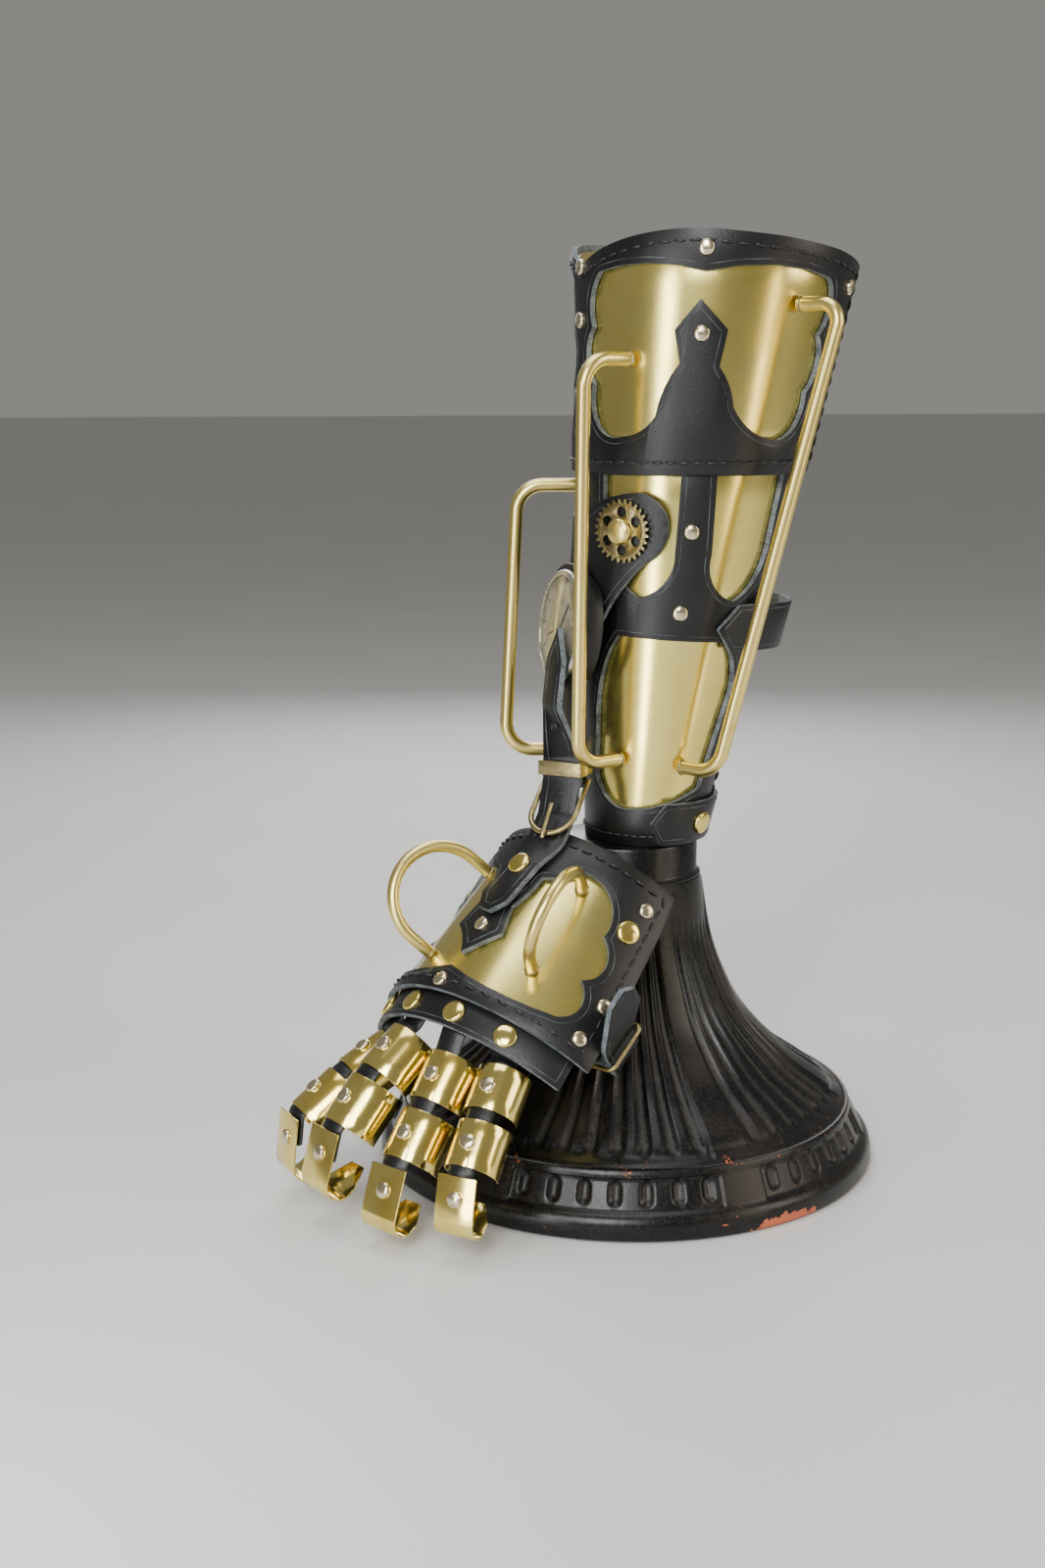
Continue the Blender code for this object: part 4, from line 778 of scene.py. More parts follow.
# Tubes on the sleeve, with a solder ring at each foot
tubeRows = (
    # name, node, side, top angle, top height, low angle, low height, direction, top and low reach
    ("tubeBackNear", "tube_back_near", 1, 33.0, 0.2105, 36.4, 0.0385, 16.0, 0.0260, 0.0250),
    ("tubeSideNear", "tube_side_near", 1, 103.4, 0.2325, 85.3, 0.0360, 118.0, 0.0225, 0.0220),
    ("tubeBackFar", "tube_back_far", -1, 33.0, 0.1560, 34.0, 0.0370, 16.0, 0.0310, 0.0390),
    ("tubeSideFar", "tube_side_far", -1, 103.4, 0.2325, 85.3, 0.0360, 118.0, 0.0225, 0.0220),
)
tubeBend, solder = {"radius": 0.012, "pieces": 16}, {"radius": 0.003, "rise": 0.0006}
solderProfile = ((0.0029, 0.0), (0.00335, 0.0001), (0.0035, 0.0005), (0.0033, 0.0010), (0.0029, 0.0012),
                 (0.0029, 0.0))
solderRings = []


def solderRing(foot, way, radius):
    side = upward if abs(way.normalized().z) < 0.9 else Vector((1, 0, 0))
    solderRings.append(standing(foot, way.normalized(), side) @ Matrix.Scale(radius / solder["radius"], 4))


def buildTubes():
    diameter = stock["tube"]
    for name, node, side, topAngle, top, lowAngle, low, direction, topReach, lowReach in tubeRows:
        ends = []
        for angle, height, reach in ((topAngle, top, topReach), (lowAngle, low, lowReach)):
            turn = side * math.radians(angle)
            onCuff = height > sleeveShape["band"]
            surface, seat = (cuffSurface, stack) if onCuff else (sleeve, 0.0)
            out = side * math.radians(direction)
            way = Vector((-math.cos(out), -math.sin(out), 0.0))
            lean = way.angle(surfaceNormal(sleeve, turn, height))
            spot = surface(turn, height, seat)
            foot = spot + way * (gap / math.cos(lean) + diameter / 2 * math.tan(lean))
            ends.append((foot, spot + way * reach))
            solderRing(foot + way * solder["rise"], way, diameter / 2)
        points = [ends[0][0], ends[0][1], ends[1][1], ends[1][0]]
        roundBar(name, rounded(points, tubeBend["radius"], tubeBend["pieces"]), diameter,
                 brassTube, (node,), detail=7)


def addSolderRings():
    model = turned("solderModel", solderProfile, 28)
    settle(placedCopies("solderRings", model, solderRings), (brassAntique,), smooth=60)


print("sleeve")
buildSleeve()
buildCuff()
buildSleeveStraps()
buildTubes()


# The carrier, the gear and the dial
dial = {"radius": 0.025, "thick": 0.0050, "height": 0.0955, "tilt": math.radians(6.5), "wall": 0.0028,
        "rise": 0.0092, "low": 0.044, "span": 0.113, "half": 0.0297, "mapRadius": 0.042,
        "fade": (math.radians(14), math.radians(52)), "sides": 96, "ringFront": 0.45, "floor": 0.3,
        "ticks": 60, "tick": (0.0014, 0.0003), "longTick": (0.0030, 0.0007), "markRise": 0.00024,
        "hands": ((62, 0.24, 0.52, 0.0012), (200, 0.34, 0.72, 0.0008))}   # turn, reach, length, width
gear = {"radius": 0.0136, "thick": 0.0015, "teeth": 28, "angle": math.radians(34.4), "height": 0.139,
        "stud": 0.0058, "studRise": 0.0042, "holes": 6, "hole": 0.17, "holeRing": 0.60}
toothRows = ((0.0, 0.875), (0.10, 0.885), (0.27, 0.985), (0.34, 1.0), (0.50, 1.0), (0.57, 0.985),
             (0.74, 0.885), (0.84, 0.875))
hubRows = ((0.86, 0.0), (0.86, 0.0003), (0.82, 0.0004), (0.80, 0.0))
bezelRows = ((0.0, 0.0), (0.975, 0.0), (0.995, 0.05), (1.0, 0.14), (1.0, 0.62), (0.992, 0.78),
             (0.975, 0.91), (0.950, 0.985), (0.930, 1.0))
bezelInside = ((1.02, 0.99), (1.004, 0.95), (1.0, 0.88))
carrierOutline = ((0.340, 0.000, 0.0), (0.570, 0.350, -0.18), (1.150, 0.715, 0.68),
                  (1.012, 0.985, 0.08), (0.480, 0.950, 0.0), (0.000, 0.870, 0.0),
                  (-0.480, 0.880, 0.0), (-1.200, 0.940, 0.60), (-1.430, 0.690, -0.18),
                  (-0.570, 0.350, 0.0), (-0.340, 0.000, 0.0))
carrierBottom = stack + gap
carrierTop = carrierBottom + leather


def carrierSurface(angle, height, lift):
    fall = ramp(-height, -gear["height"] - gear["radius"] * 0.4, -gear["height"] + dial["radius"] * 2.9)
    rise = dial["rise"] * eased(fall) * (1 - eased(ramp(abs(angle), *dial["fade"])))
    return sleeve(angle, height, lift) - Vector((rise, 0, 0))


def raisedSeat(middle, normal, angle, height, radius):
    # lifted until the round piece clears the bent leather below it
    clear, count = 0.0, 8
    for level in range(-count, count + 1):
        for step in range(-count, count + 1):
            if level * level + step * step <= count * count:
                point = carrierSurface(angle + radius * step / count / dial["mapRadius"],
                                       height + radius * level / count, carrierTop)
                clear = max(clear, (point - middle).dot(normal))
    return middle + normal * (clear + gap)


def dialFrame():
    middle = carrierSurface(0.0, dial["height"], carrierTop)
    normal = Vector((-math.cos(dial["tilt"]), 0, math.sin(dial["tilt"])))
    return standing(raisedSeat(middle, normal, 0.0, dial["height"], dial["radius"]), normal,
                    Vector((0, -1, 0)))


def buildCarrier():
    def onCarrier(x, y, lift):
        return carrierSurface(x / dial["mapRadius"], dial["low"] + y, lift)

    outline = drawn(carrierOutline, dial["half"], dial["span"])
    half = dial["half"] * 1.6
    leatherSheet("dialCarrier", outline, onCarrier, carrierBottom, carrierTop, ("dial_carrier",),
                 across=steps(-half, half, bendSize["arc"]),
                 along=steps(0, dial["span"], bendSize["carrier"]))
    tooledLines("carrierLines", [outline], "carrier", onCarrier, carrierTop)


def circle(radius, middle=(0.0, 0.0), count=24):
    return [Vector((middle[0] + radius * math.cos(math.tau * index / count),
                    middle[1] + radius * math.sin(math.tau * index / count))) for index in range(count)]


def buildGear():
    g = gear
    lift, turn = carrierTop, g["radius"] / sleeveShape["elbowDepth"]
    rising = (carrierSurface(g["angle"], g["height"] + g["radius"], lift)
              - carrierSurface(g["angle"], g["height"] - g["radius"], lift))
    around = (carrierSurface(g["angle"] + turn, g["height"], lift)
              - carrierSurface(g["angle"] - turn, g["height"], lift))
    normal = around.cross(rising).normalized()
    normal = normal if normal.x < 0 else -normal
    middle = carrierSurface(g["angle"], g["height"], lift)
    seat = raisedSeat(middle, normal, g["angle"], g["height"], g["radius"])
    place = standing(seat, normal, upward)
    outline = []
    for tooth in range(g["teeth"]):
        for share, reach in toothRows:
            angle = math.tau * (tooth + share) / g["teeth"]
            outline.append(Vector((math.cos(angle), math.sin(angle))) * g["radius"] * reach)
    ring = g["radius"] * g["holeRing"]
    holes = [circle(g["radius"] * g["hole"], (ring * math.cos(a), ring * math.sin(a)))
             for a in (math.tau * index / g["holes"] for index in range(g["holes"]))]

    def onGear(x, y, lift):
        return place @ Vector((x, y, lift))

    bentSheet("gearWheel", outline, onGear, 0.0, g["thick"], "antique_brass", (brassAntique,),
              ("gear",), holes=holes)
    face = standing(seat + normal * g["thick"], normal, upward)
    turnedPiece("gearHub", [(g["radius"] * across, rise) for across, rise in hubRows], 64, face,
                brassAntique)
    turnedPiece("gearStud", domeProfile(g["stud"], g["studRise"]), 48,
                standing(seat + normal * (g["thick"] + gap), normal, upward),
                brassTube, ("gear_stud",), 45)


def buildDial():
    place, sides = dialFrame(), dial["sides"]
    radius, thick = dial["radius"], dial["thick"]
    inner, floor = radius - dial["wall"], thick * dial["floor"]
    profile = [(radius * across, thick * rise) for across, rise in bezelRows]
    profile += [(inner * across, thick * rise) for across, rise in bezelInside]
    turnedPiece("dialBezel", profile + [(inner, floor), (0.0, floor)], sides, place, silver,
                ("dial_bezel",), 40)
    disc, sunk = inner - gap, brass * 0.9
    profile = [(0.0, 0.0), (disc, 0.0), (disc, brass), (disc * 0.80, brass), (disc * 0.79, sunk),
               (0.0, sunk)]
    turnedPiece("dialFace", profile, sides, place @ Matrix.Translation((0, 0, floor + gap)),
                paper, ("dial_face",))
    marks = []
    for index in range(dial["ticks"]):
        length, width = dial["longTick" if index % 5 == 0 else "tick"]
        marks.append((math.tau * index / dial["ticks"], disc * 0.965 - length / 2, length, width))
    for turn, reach, length, width in dial["hands"]:
        marks.append((math.radians(turn), disc * reach, disc * length, width))
    model, top = added(bpy.ops.mesh.primitive_cube_add, size=1.0), floor + gap + brass
    places = [place @ Matrix.Rotation(turn, 4, "Z") @ Matrix.Translation((reach, 0, top))
              @ Matrix.Diagonal((length, width, dial["markRise"], 1))
              for turn, reach, length, width in marks]
    settle(placedCopies("dialMarks", model, places), (ink,))
    profile = [(0.0, thick * 0.90), (inner * 0.5, thick * 0.885), (disc, thick * 0.80),
               (disc, thick * 0.90), (inner * 0.85, thick * 0.985), (inner * 0.5, thick * 1.06),
               (0.0, thick * 1.09)]
    turnedPiece("dialLens", profile, sides, place, glass, smooth=60)


def buildDialRing():
    place = dialFrame()
    inner, outer = dial["radius"] + gap, dial["radius"] + gap + leather
    front = dial["thick"] * dial["ringFront"]
    low, high = sleeveShape["wristWidth"], sleeveShape["elbowWidth"]

    def seatAt(flat):
        level = 0.0
        for _ in range(18):
            point = place @ Vector((flat.x, flat.y, level))
            height = point.z - sleeveShape["bottom"]
            width = low + (high - low) * height / sleeveShape["height"] + carrierTop
            angle = math.asin(max(-0.999, min(0.999, -point.y / width)))
            if point.x > carrierSurface(angle, height, carrierTop).x - gap * 3:
                break
            level -= gap
        return level

    points, faces, sides = [], [], dial["sides"]
    for index in range(sides):
        turn = math.tau * index / sides
        for radius, isFront in ((inner, 0), (outer, 0), (outer, 1), (inner, 1)):
            flat = Vector((radius * math.cos(turn), radius * math.sin(turn), front))
            if not isFront:
                flat.z = seatAt(flat)
            points.append(place @ flat)
        for edge in range(4):
            here, there = index * 4, (index + 1) % sides * 4
            faces.append((here + edge, here + (edge + 1) % 4, there + (edge + 1) % 4, there + edge))
    thing = meshPiece("dialRing", points, faces)
    turnOut(thing)
    applyBevel(thing, rounding["dialRing"])
    settle(thing, (leatherSkin,), ("dial_ring",))


print("carrier, gear and dial")
buildCarrier()
buildGear()
buildDial()
buildDialRing()


# The hand guard
guard = {"length": 0.089, "radius": 0.053, "knuckleRadius": 0.069, "wrap": math.radians(73),
         "knuckleWrap": math.radians(64), "heading": math.radians(25), "slope": math.radians(41),
         "roll": math.radians(-4), "start": Vector((-0.042, -0.011, 0.154)), "arc": 0.068,
         "plateArc": 0.96, "knuckleArc": 0.92, "knuckleBand": 0.020}
handLoops = (
    # name, node, share across, near and far end as shares along, height
    ("handLoopNear", "hand_loop_near", 0.45, 0.235, 0.720, 0.034),
    ("handLoopFar", "hand_loop_far", -0.33, 0.275, 0.790, 0.0375),
)
loopTube, loopSolder = stock["tube"] * 0.9, 0.0004
handWindow = ((0.000, 0.780, 0.0), (0.180, 0.625, 0.0), (0.130, 0.470, -0.10), (0.200, 0.270, -0.20),
              (0.400, 0.160, 0.55), (0.707, 0.399, 0.55), (0.719, 0.648, 0.55), (0.700, 0.870, 0.16))
handWindowFoot = (0.000, 0.860, 0.16)


def handAxes():
    ahead = Vector((-math.cos(guard["heading"]), -math.sin(guard["heading"]), 0))
    along = ahead * math.cos(guard["slope"]) - upward * math.sin(guard["slope"])
    normal = ahead * math.sin(guard["slope"]) + upward * math.cos(guard["slope"])
    side = normal.cross(along)
    roll = guard["roll"]
    return (along, side * math.cos(roll) - normal * math.sin(roll),
            normal * math.cos(roll) + side * math.sin(roll))


handWay, handNear, handUp = handAxes()


def hand(angle, along, lift):
    radius = guard["radius"] + (guard["knuckleRadius"] - guard["radius"]) * along / guard["length"]
    return (guard["start"] + handWay * along
            + handNear * (radius + lift) * math.sin(angle)
            + handUp * ((radius + lift) * math.cos(angle) - radius))


def handWrap(along):
    return guard["wrap"] + (guard["knuckleWrap"] - guard["wrap"]) * along / guard["length"]


def handShare(share, along, lift):
    return hand(share * handWrap(along), along, lift)


def handNormal(share, along):
    return (handShare(share, along, 0.001) - handShare(share, along, 0)).normalized()


def handPattern(points):
    wraps = (guard["knuckleWrap"] - guard["wrap"]) / guard["wrap"] / guard["length"]
    return [Vector((point[0] * (1 + wraps * point[1]), point[1])) for point in points]


def onHand(x, y, lift):
    return hand(x / guard["arc"] * guard["wrap"], y, lift)


def handLine(share, along):
    turn = share * handWrap(along)
    return (hand(turn, guard["length"], 0.0) - hand(turn, 0.0, 0.0)).normalized()


def buildHand():
    arc, length = guard["arc"], guard["length"]
    bends, levels = steps(-arc, arc, bendSize["arc"]), steps(0, length, bendSize["hand"])
    far = mirrored(handWindow[1:])
    far[0] = (*far[0][:2], handWindow[-2][2])
    edge = handPattern(rectangle(arc, 0, length))
    window = handPattern(drawn([*handWindow, handWindowFoot, *far], arc, length))
    leatherSheet("handLeather", edge, onHand, gap, stack, ("hand_leather",), holes=[window],
                 across=bends, along=levels)
    inset = sleeveShape["inset"]
    plateEdge = handPattern(rectangle(arc * guard["plateArc"], inset, length - inset))
    brassSheetPiece("handPlate", plateEdge, onHand, -brass, 0.0, ("hand_plate",),
                    across=bends, along=levels)
    tooledLines("handLines", [window], "hand", onHand, stack)
    stitchRow("handStitches", [(offsetRing(edge, stitchInset["hand"]), True)], onHand, stack)


def buildHandLoops():
    for name, node, share, start, end, height in handLoops:
        low, high = (handShare(share, along * guard["length"], 1.5 * gap) for along in (start, end))
        normal = handNormal(share, (start + end) / 2 * guard["length"])
        reach, bow = height - stock["tube"] / 2, (high - low).length / 2
        points, count = [low], 40
        for step in range(count + 1):
            turn = math.pi * step / count
            points.append(low.lerp(high, (1 - math.cos(turn)) / 2)
                          + normal * (reach - bow + bow * math.sin(turn)))
        roundBar(name, points + [high], loopTube, brassTube, (node,), detail=7)
        for foot in (low, high):
            solderRing(foot + normal * loopSolder, normal, loopTube / 2)


def buildKnuckleBand():
    band = guard["knuckleBand"]
    start, half = guard["length"] - band * 0.35, guard["arc"] * guard["knuckleArc"]
    edge = handPattern(rectangle(half, start, start + band))
    outer = -brass - gap
    leatherSheet("knuckleBand", edge, onHand, outer - leather, outer, ("knuckle_band",),
                 across=steps(-half, half, bendSize["arc"]))
    tooledLines("knuckleLines", [edge], "knuckle", onHand, outer)


print("hand guard")
buildHand()
buildHandLoops()
buildKnuckleBand()


# Fingers
fingerShape = {"ringLength": 0.0215, "ringRadius": 0.0125, "ringWrap": math.radians(118),
               "space": 0.0052, "strap": 0.014, "tipWidth": 0.019, "tipLength": 0.020,
               "tipRadius": 0.0062, "tipHook": 0.013, "tipTurn": math.radians(140), "tipStrap": 0.60}
fingers = (
    # name, arc angle, heading, scale, lead, then the slopes of root, first ring, second, tip
    ("index", -35.5, 8, 1.05, 0.0225, 44, 28, 36, 84),
    ("middle", -12, 18, 1.04, 0.0235, 40, 38, 48, 74),
    ("third", 11, 30, 1.00, 0.0275, 54, 50, 51, 70),
    ("little", 33, 42, 0.93, 0.0225, 46, 46, 50, 78),
)
smallCaps, largeCaps = [], []


def down(ahead, slope):
    turn = math.radians(slope)
    return ahead * math.cos(turn) - upward * math.sin(turn)


def buildFinger(name, arc, heading, scale, lead, rootSlope, first, second, tip):
    f = fingerShape
    turn = math.radians(heading)
    ahead = Vector((-math.cos(turn), -math.sin(turn), 0))
    side = Vector((math.sin(turn), -math.cos(turn), 0))
    under, band, space = -brass - gap - leather, guard["knuckleBand"], f["space"]
    length = f["ringLength"] * scale
    root = hand(math.radians(arc), guard["length"] + band * 0.25, under - 2 * gap)
    run = band * 0.41
    drift = run * math.tan(turn - guard["heading"]) / guard["knuckleRadius"]
    underEdge = hand(math.radians(arc) + drift, guard["length"] + band * 0.25 + run, under - 6 * gap)
    pitch = length + space
    ringOne = root + down(ahead, rootSlope) * lead
    kneeOne = ringOne + down(ahead, first) * pitch / 2
    ringTwo = kneeOne + down(ahead, second) * pitch / 2
    kneeTwo = ringTwo + down(ahead, second) * pitch / 2
    tipTop = kneeTwo + down(ahead, tip) * space * 0.3
    strapEnd = tipTop + down(ahead, tip) * f["tipLength"] * scale * f["tipStrap"]
    kneeRoot = ringOne - down(ahead, first) * (length / 2 + space * 0.2)
    route = rounded([root, underEdge, kneeRoot, kneeOne, kneeTwo, strapEnd], space * 0.9, 6)
    rootTurn = math.radians(arc)
    rootSide = handNear * math.cos(rootTurn) - handUp * math.sin(rootTurn)
    strap = Route(route, lambda share: rootSide.lerp(side, ramp(share, 0.05, 0.14)))
    bow = f["ringRadius"] * scale - gap - brass

    def onStrap(x, y, lift):
        return strap.at((bow + lift) * math.sin(x / bow), y, (bow + lift) * math.cos(x / bow) - bow)

    half = f["strap"] * scale / 2
    leatherSheet(name + "Strap", rectangle(half, 0, strap.length), onStrap, -leather, 0.0,
                 ("strap_" + name,), across=steps(-half, half, bendSize["finger"]),
                 along=strap.marks[1:-1])

    for number, middle, slope in (("First", ringOne, first), ("Second", ringTwo, second)):
        way = down(ahead, slope)
        normal = way.cross(side)
        start, radius = middle - way * length / 2, bow + gap

        def onRing(x, y, lift):
            angle, reach = x / radius, radius + lift
            return (start + way * y + side * reach * math.sin(angle)
                    + normal * (reach * math.cos(angle) - bow))

        half = f["ringWrap"] * radius
        brassSheetPiece(name + "Ring" + number, rectangle(half, 0, length), onRing, 0.0, brass,
                        (f"{name}_ring_{number.lower()}",), brassPolished, "polished_brass",
                        across=steps(-half, half, bendSize["ringTurn"] * radius),
                        along=steps(0, length, bendSize["ring"]))
        smallCaps.append(standing(middle + normal * (gap + brass), normal, side))

    way = down(ahead, tip)
    normal = way.cross(side)
    radius, front = f["tipRadius"] * scale, f["tipLength"] * scale
    top = tipTop + normal * gap
    hook = [top, top + way * front]
    centre = hook[-1] - normal * radius
    for step in range(1, 25):
        angle = f["tipTurn"] * step / 24
        hook.append(centre + normal * radius * math.cos(angle) + way * radius * math.sin(angle))
    last = -normal * math.sin(f["tipTurn"]) + way * math.cos(f["tipTurn"])
    hook.append(hook[-1] + last * f["tipHook"] * scale)
    tipRoute = Route(hook, lambda share: side)
    half, reach = f["tipWidth"] * scale / 2, tipRoute.length
    edge = corners((-half, 0), (half, 0)) + cutEnd(half, reach, 1.0, 0.45)
    brassSheetPiece(name + "Tip", edge, tipRoute.at, 0.0, brass, (name + "_tip",), brassPolished,
                    "polished_brass", along=tipRoute.marks[1:-1])
    smallCaps.append(standing(top + way * front * 0.5 + normal * brass, normal, side))


for row in fingers:
    buildFinger(*row)
print("fingers")


# Buckled strap from the dial to the hand
buckle = {"width": 0.0235, "drop": 0.0300, "height": 0.0290, "out": 0.0330, "turn": math.radians(42),
          "tilt": math.radians(45), "strap": 0.0175, "offset": 0.0085, "keeper": 0.0065,
          "slope": 0.8, "flat": 0.4, "point": 1.6, "holes": (-0.014, 0.006)}
eyeletProfile = ((0.0, -0.0003), (0.0013, -0.0002), (0.0016, 0.0002), (0.0020, 0.00005), (0.0021, -0.0003))
barSide = Vector((math.sin(buckle["turn"]), -math.cos(buckle["turn"]), 0))
barOut = Vector((-math.cos(buckle["turn"]), -math.sin(buckle["turn"]), 0))
bar = Vector((-buckle["out"], -buckle["offset"], sleeveShape["bottom"] + buckle["height"]))
lower = barOut * math.sin(buckle["tilt"]) - upward * math.cos(buckle["tilt"])
facing = barOut * math.cos(buckle["tilt"]) + upward * math.sin(buckle["tilt"])


def buildBuckleStrap():
    place, wire, drop = dialFrame(), stock["wire"], buckle["drop"]
    normal, downward = place.col[2].to_3d(), place.col[1].to_3d()
    downward = downward if downward.z < 0 else -downward
    onDial = place.translation + normal * (dial["thick"] + 2 * gap) - Vector((0, buckle["offset"], 0))
    overBar = bar + barOut * (wire / 2 + stock["skived"] + 3 * gap)
    behind = facing * (wire / 2 + leather + 2 * gap)
    seat = stack + 3 * gap
    route = [onDial, onDial + downward * dial["radius"] * 1.35,
             overBar + upward * buckle["keeper"] * 1.6, overBar,
             bar + lower * drop * 0.55 - behind, bar + lower * drop - behind,
             handShare(0.06, guard["length"] * 0.22, seat), handShare(0.0, guard["length"] * 0.54, seat)]
    marks = [0.0]
    for first, second in zip(route, route[1:]):
        marks.append(marks[-1] + (second - first).length)

    def sides(share):
        mark = share * marks[-1]
        if mark < marks[3]:
            return Vector((0, -1, 0)).lerp(barSide, ramp(mark, marks[2] - buckle["keeper"] * 1.5, marks[2]))
        return barSide.lerp(handNear, ramp(mark, marks[5], marks[6]))

    strap = Route(rounded(route, buckle["strap"] * 0.5, 12), sides)
    half, length = buckle["strap"] / 2, strap.length
    point, end = half * buckle["point"], cutEnd(half, length, buckle["slope"], buckle["flat"])
    edge = corners((0, 0), (half, point)) + end + corners((-half, point))
    leatherSheet("buckleStrap", edge, strap.at, 0.0, leather, ("hand_strap",), along=strap.marks[1:-1])
    tooledLines("buckleStrapLines", [edge], "buckleStrap", strap.at, leather)
    holes = []
    for mark in (marks[2] + buckle["holes"][0], marks[3] + buckle["holes"][1]):
        spot = strap.at(0, mark, leather)
        holes.append(standing(spot, (strap.at(0, mark, 0.01) - spot).normalized(), barSide))
    eyelet = turned("eyeletModel", eyeletProfile, 24)
    settle(placedCopies("strapHoles", eyelet, holes), (leatherSkin,), smooth=60)


def buildBuckle():
    wire = stock["wire"]
    bow = buckle["width"] / 2 - wire / 2
    straight = buckle["drop"] - wire / 2 - bow
    points, count = [bar - barSide * bow, bar + barSide * bow], 32
    for step in range(count + 1):
        turn = math.pi * step / count
        points.append(bar + barSide * bow * math.cos(turn) + lower * (straight + bow * math.sin(turn)))
    roundBar("buckleFrame", points, wire, brassAntique, ("buckle_frame",), closed=True)
    thin = wire * 0.8
    front = wire / 2 + gap + thin / 2
    hole = bar + lower * buckle["drop"] * 0.55 + facing * (front + leather * 0.9)
    end = bar + lower * buckle["drop"] + facing * front
    roundBar("bucklePin", rounded([hole, end, end + lower * wire * 0.9 - facing * wire * 0.4], wire, 8),
             thin, brassAntique, ("buckle_prong",))


def buildBuckleTab():
    wire, skived = stock["wire"], stock["skived"]
    turn = math.asin(buckle["offset"] / sleeveShape["wristWidth"]) * 0.8
    lift, hug = carrierTop + 4 * gap + skived, wire / 2 + gap
    points = [carrierSurface(turn, dial["low"] + 0.006, lift), carrierSurface(turn, dial["low"], lift),
              bar - barOut * hug + upward * buckle["keeper"] * 1.7, bar - barOut * hug - upward * hug,
              bar + barOut * hug - upward * hug, bar + barOut * hug + upward * buckle["keeper"] * 1.4]
    first = Vector((0.10, -0.995, 0))
    tab = Route(rounded(points, hug * 0.98), lambda share: first.lerp(barSide, ramp(share, 0.1, 0.33)))
    half = buckle["width"] / 2 - wire - 2 * gap
    leatherSheet("buckleTab", rectangle(half, 0, tab.length), tab.at, -skived, 0.0, ("buckle_tab",),
                 along=tab.marks[1:-1])


def buildKeeper():
    back = stock["wire"] / 2 + 2 * gap + stock["skived"]
    front, half = back + gap + leather + gap, buckle["strap"] / 2 + 2 * gap
    sheet, height = brass * 1.4, buckle["keeper"]
    low = bar + upward * (stock["wire"] / 2 + gap * 4)
    points, faces = [], []
    for level in (0.0, height):
        for extra in (0.0, sheet):
            for across, reach in ((-half - extra, -back - extra), (half + extra, -back - extra),
                                  (half + extra, front + extra), (-half - extra, front + extra)):
                points.append(low + barSide * across + barOut * reach + upward * level)
    for first, second in ((0, 1), (1, 3), (3, 2), (2, 0)):
        for index in range(4):
            after = (index + 1) % 4
            faces.append((first * 4 + index, first * 4 + after, second * 4 + after, second * 4 + index))
    thing = meshPiece("strapKeeper", points, faces)
    turnOut(thing)
    applyBevel(thing, rounding["keeper"], 3)
    settle(thing, (brassAntique,), ("strap_keeper",))


print("buckled strap")
buildBuckleStrap()
buildBuckle()
buildBuckleTab()
buildKeeper()


# Palm strap
palm = {"width": 0.018, "place": 0.070, "far": 0.052, "out": 0.003, "drop": 0.008,
        "lean": (0.74, 0.60, 0.32), "end": 0.025, "sag": 0.011, "arch": 0.008, "loop": 0.015}


def buildPalm():
    wire, skived = stock["palmWire"], stock["skived"]
    crossing = handShare(1.0, palm["place"], stack) + handNear * palm["out"] - handUp * palm["drop"]
    rise, back, out = palm["lean"]
    lean = (handUp * rise - handWay * back + handNear * out).normalized()
    inner = -brass - 3 * gap
    far = handShare(-1.0, palm["far"], inner)
    off = (far - handShare(-0.97, palm["far"], inner)).normalized()
    farLow = far + off * palm["sag"] * 0.7
    nearLow = crossing - handUp * palm["sag"] - handNear * palm["sag"] * 0.3
    top = crossing + handUp * palm["sag"] * 0.4
    points = [handShare(-0.70, palm["far"], inner), handShare(-0.85, palm["far"], inner), far, farLow,
              (farLow + nearLow) / 2 + handUp * palm["arch"], nearLow, top, top + lean * palm["end"]]
    farSide, turnedSide = handLine(-0.85, palm["far"]), handNear.cross(lean).normalized()

    def sides(share):
        if share < 0.5:
            return farSide.lerp(handWay, ramp(share, 0.12, 0.32))
        return handWay.lerp(turnedSide, ramp(share, 0.84, 0.94))

    strap, half = Route(rounded(points, palm["sag"] * 0.45), sides), palm["width"] / 2
    end = cutEnd(half, strap.length, buckle["slope"], buckle["flat"])
    edge = corners((-half, 0), (half, 0)) + end
    leatherSheet("palmStrap", edge, strap.at, -leather, 0.0, ("palm_strap",), along=strap.marks[1:-1])
    tooledLines("palmStrapLines", [edge], "palmStrap", strap.at, 0.0)
    outer = crossing + handNear * (wire / 2 + 2 * gap)
    inside = outer - handNear * palm["loop"]
    bend = wire * 1.2
    reach = handWay * (half + bend)
    loop = [outer - reach, outer + reach, inside + reach, inside - reach]
    start = (loop[3] + loop[0]) / 2
    route = rounded([start, *loop, start], bend, 8)
    roundBar("palmBuckle", route[:-1], wire, brassAntique, ("palm_buckle",), closed=True)
    under, hug = inner - skived, wire / 2 + 2 * gap
    line = handLine(0.76, palm["place"])
    points = [handShare(0.70, palm["place"], under), handShare(0.82, palm["place"], under),
              inside + handNear * hug + handUp * hug * 1.5, inside + handNear * hug - handUp * hug,
              inside - handNear * hug - handUp * hug, inside - handNear * hug + handUp * hug * 3]
    tab = Route(rounded(points, hug * 0.98), lambda share: -line.lerp(handWay, ramp(share, 0.25, 0.5)))
    leatherSheet("palmTab", rectangle(half, 0, tab.length), tab.at, 0.0, skived, ("palm_tab",),
                 along=tab.marks[1:-1])


buildPalm()


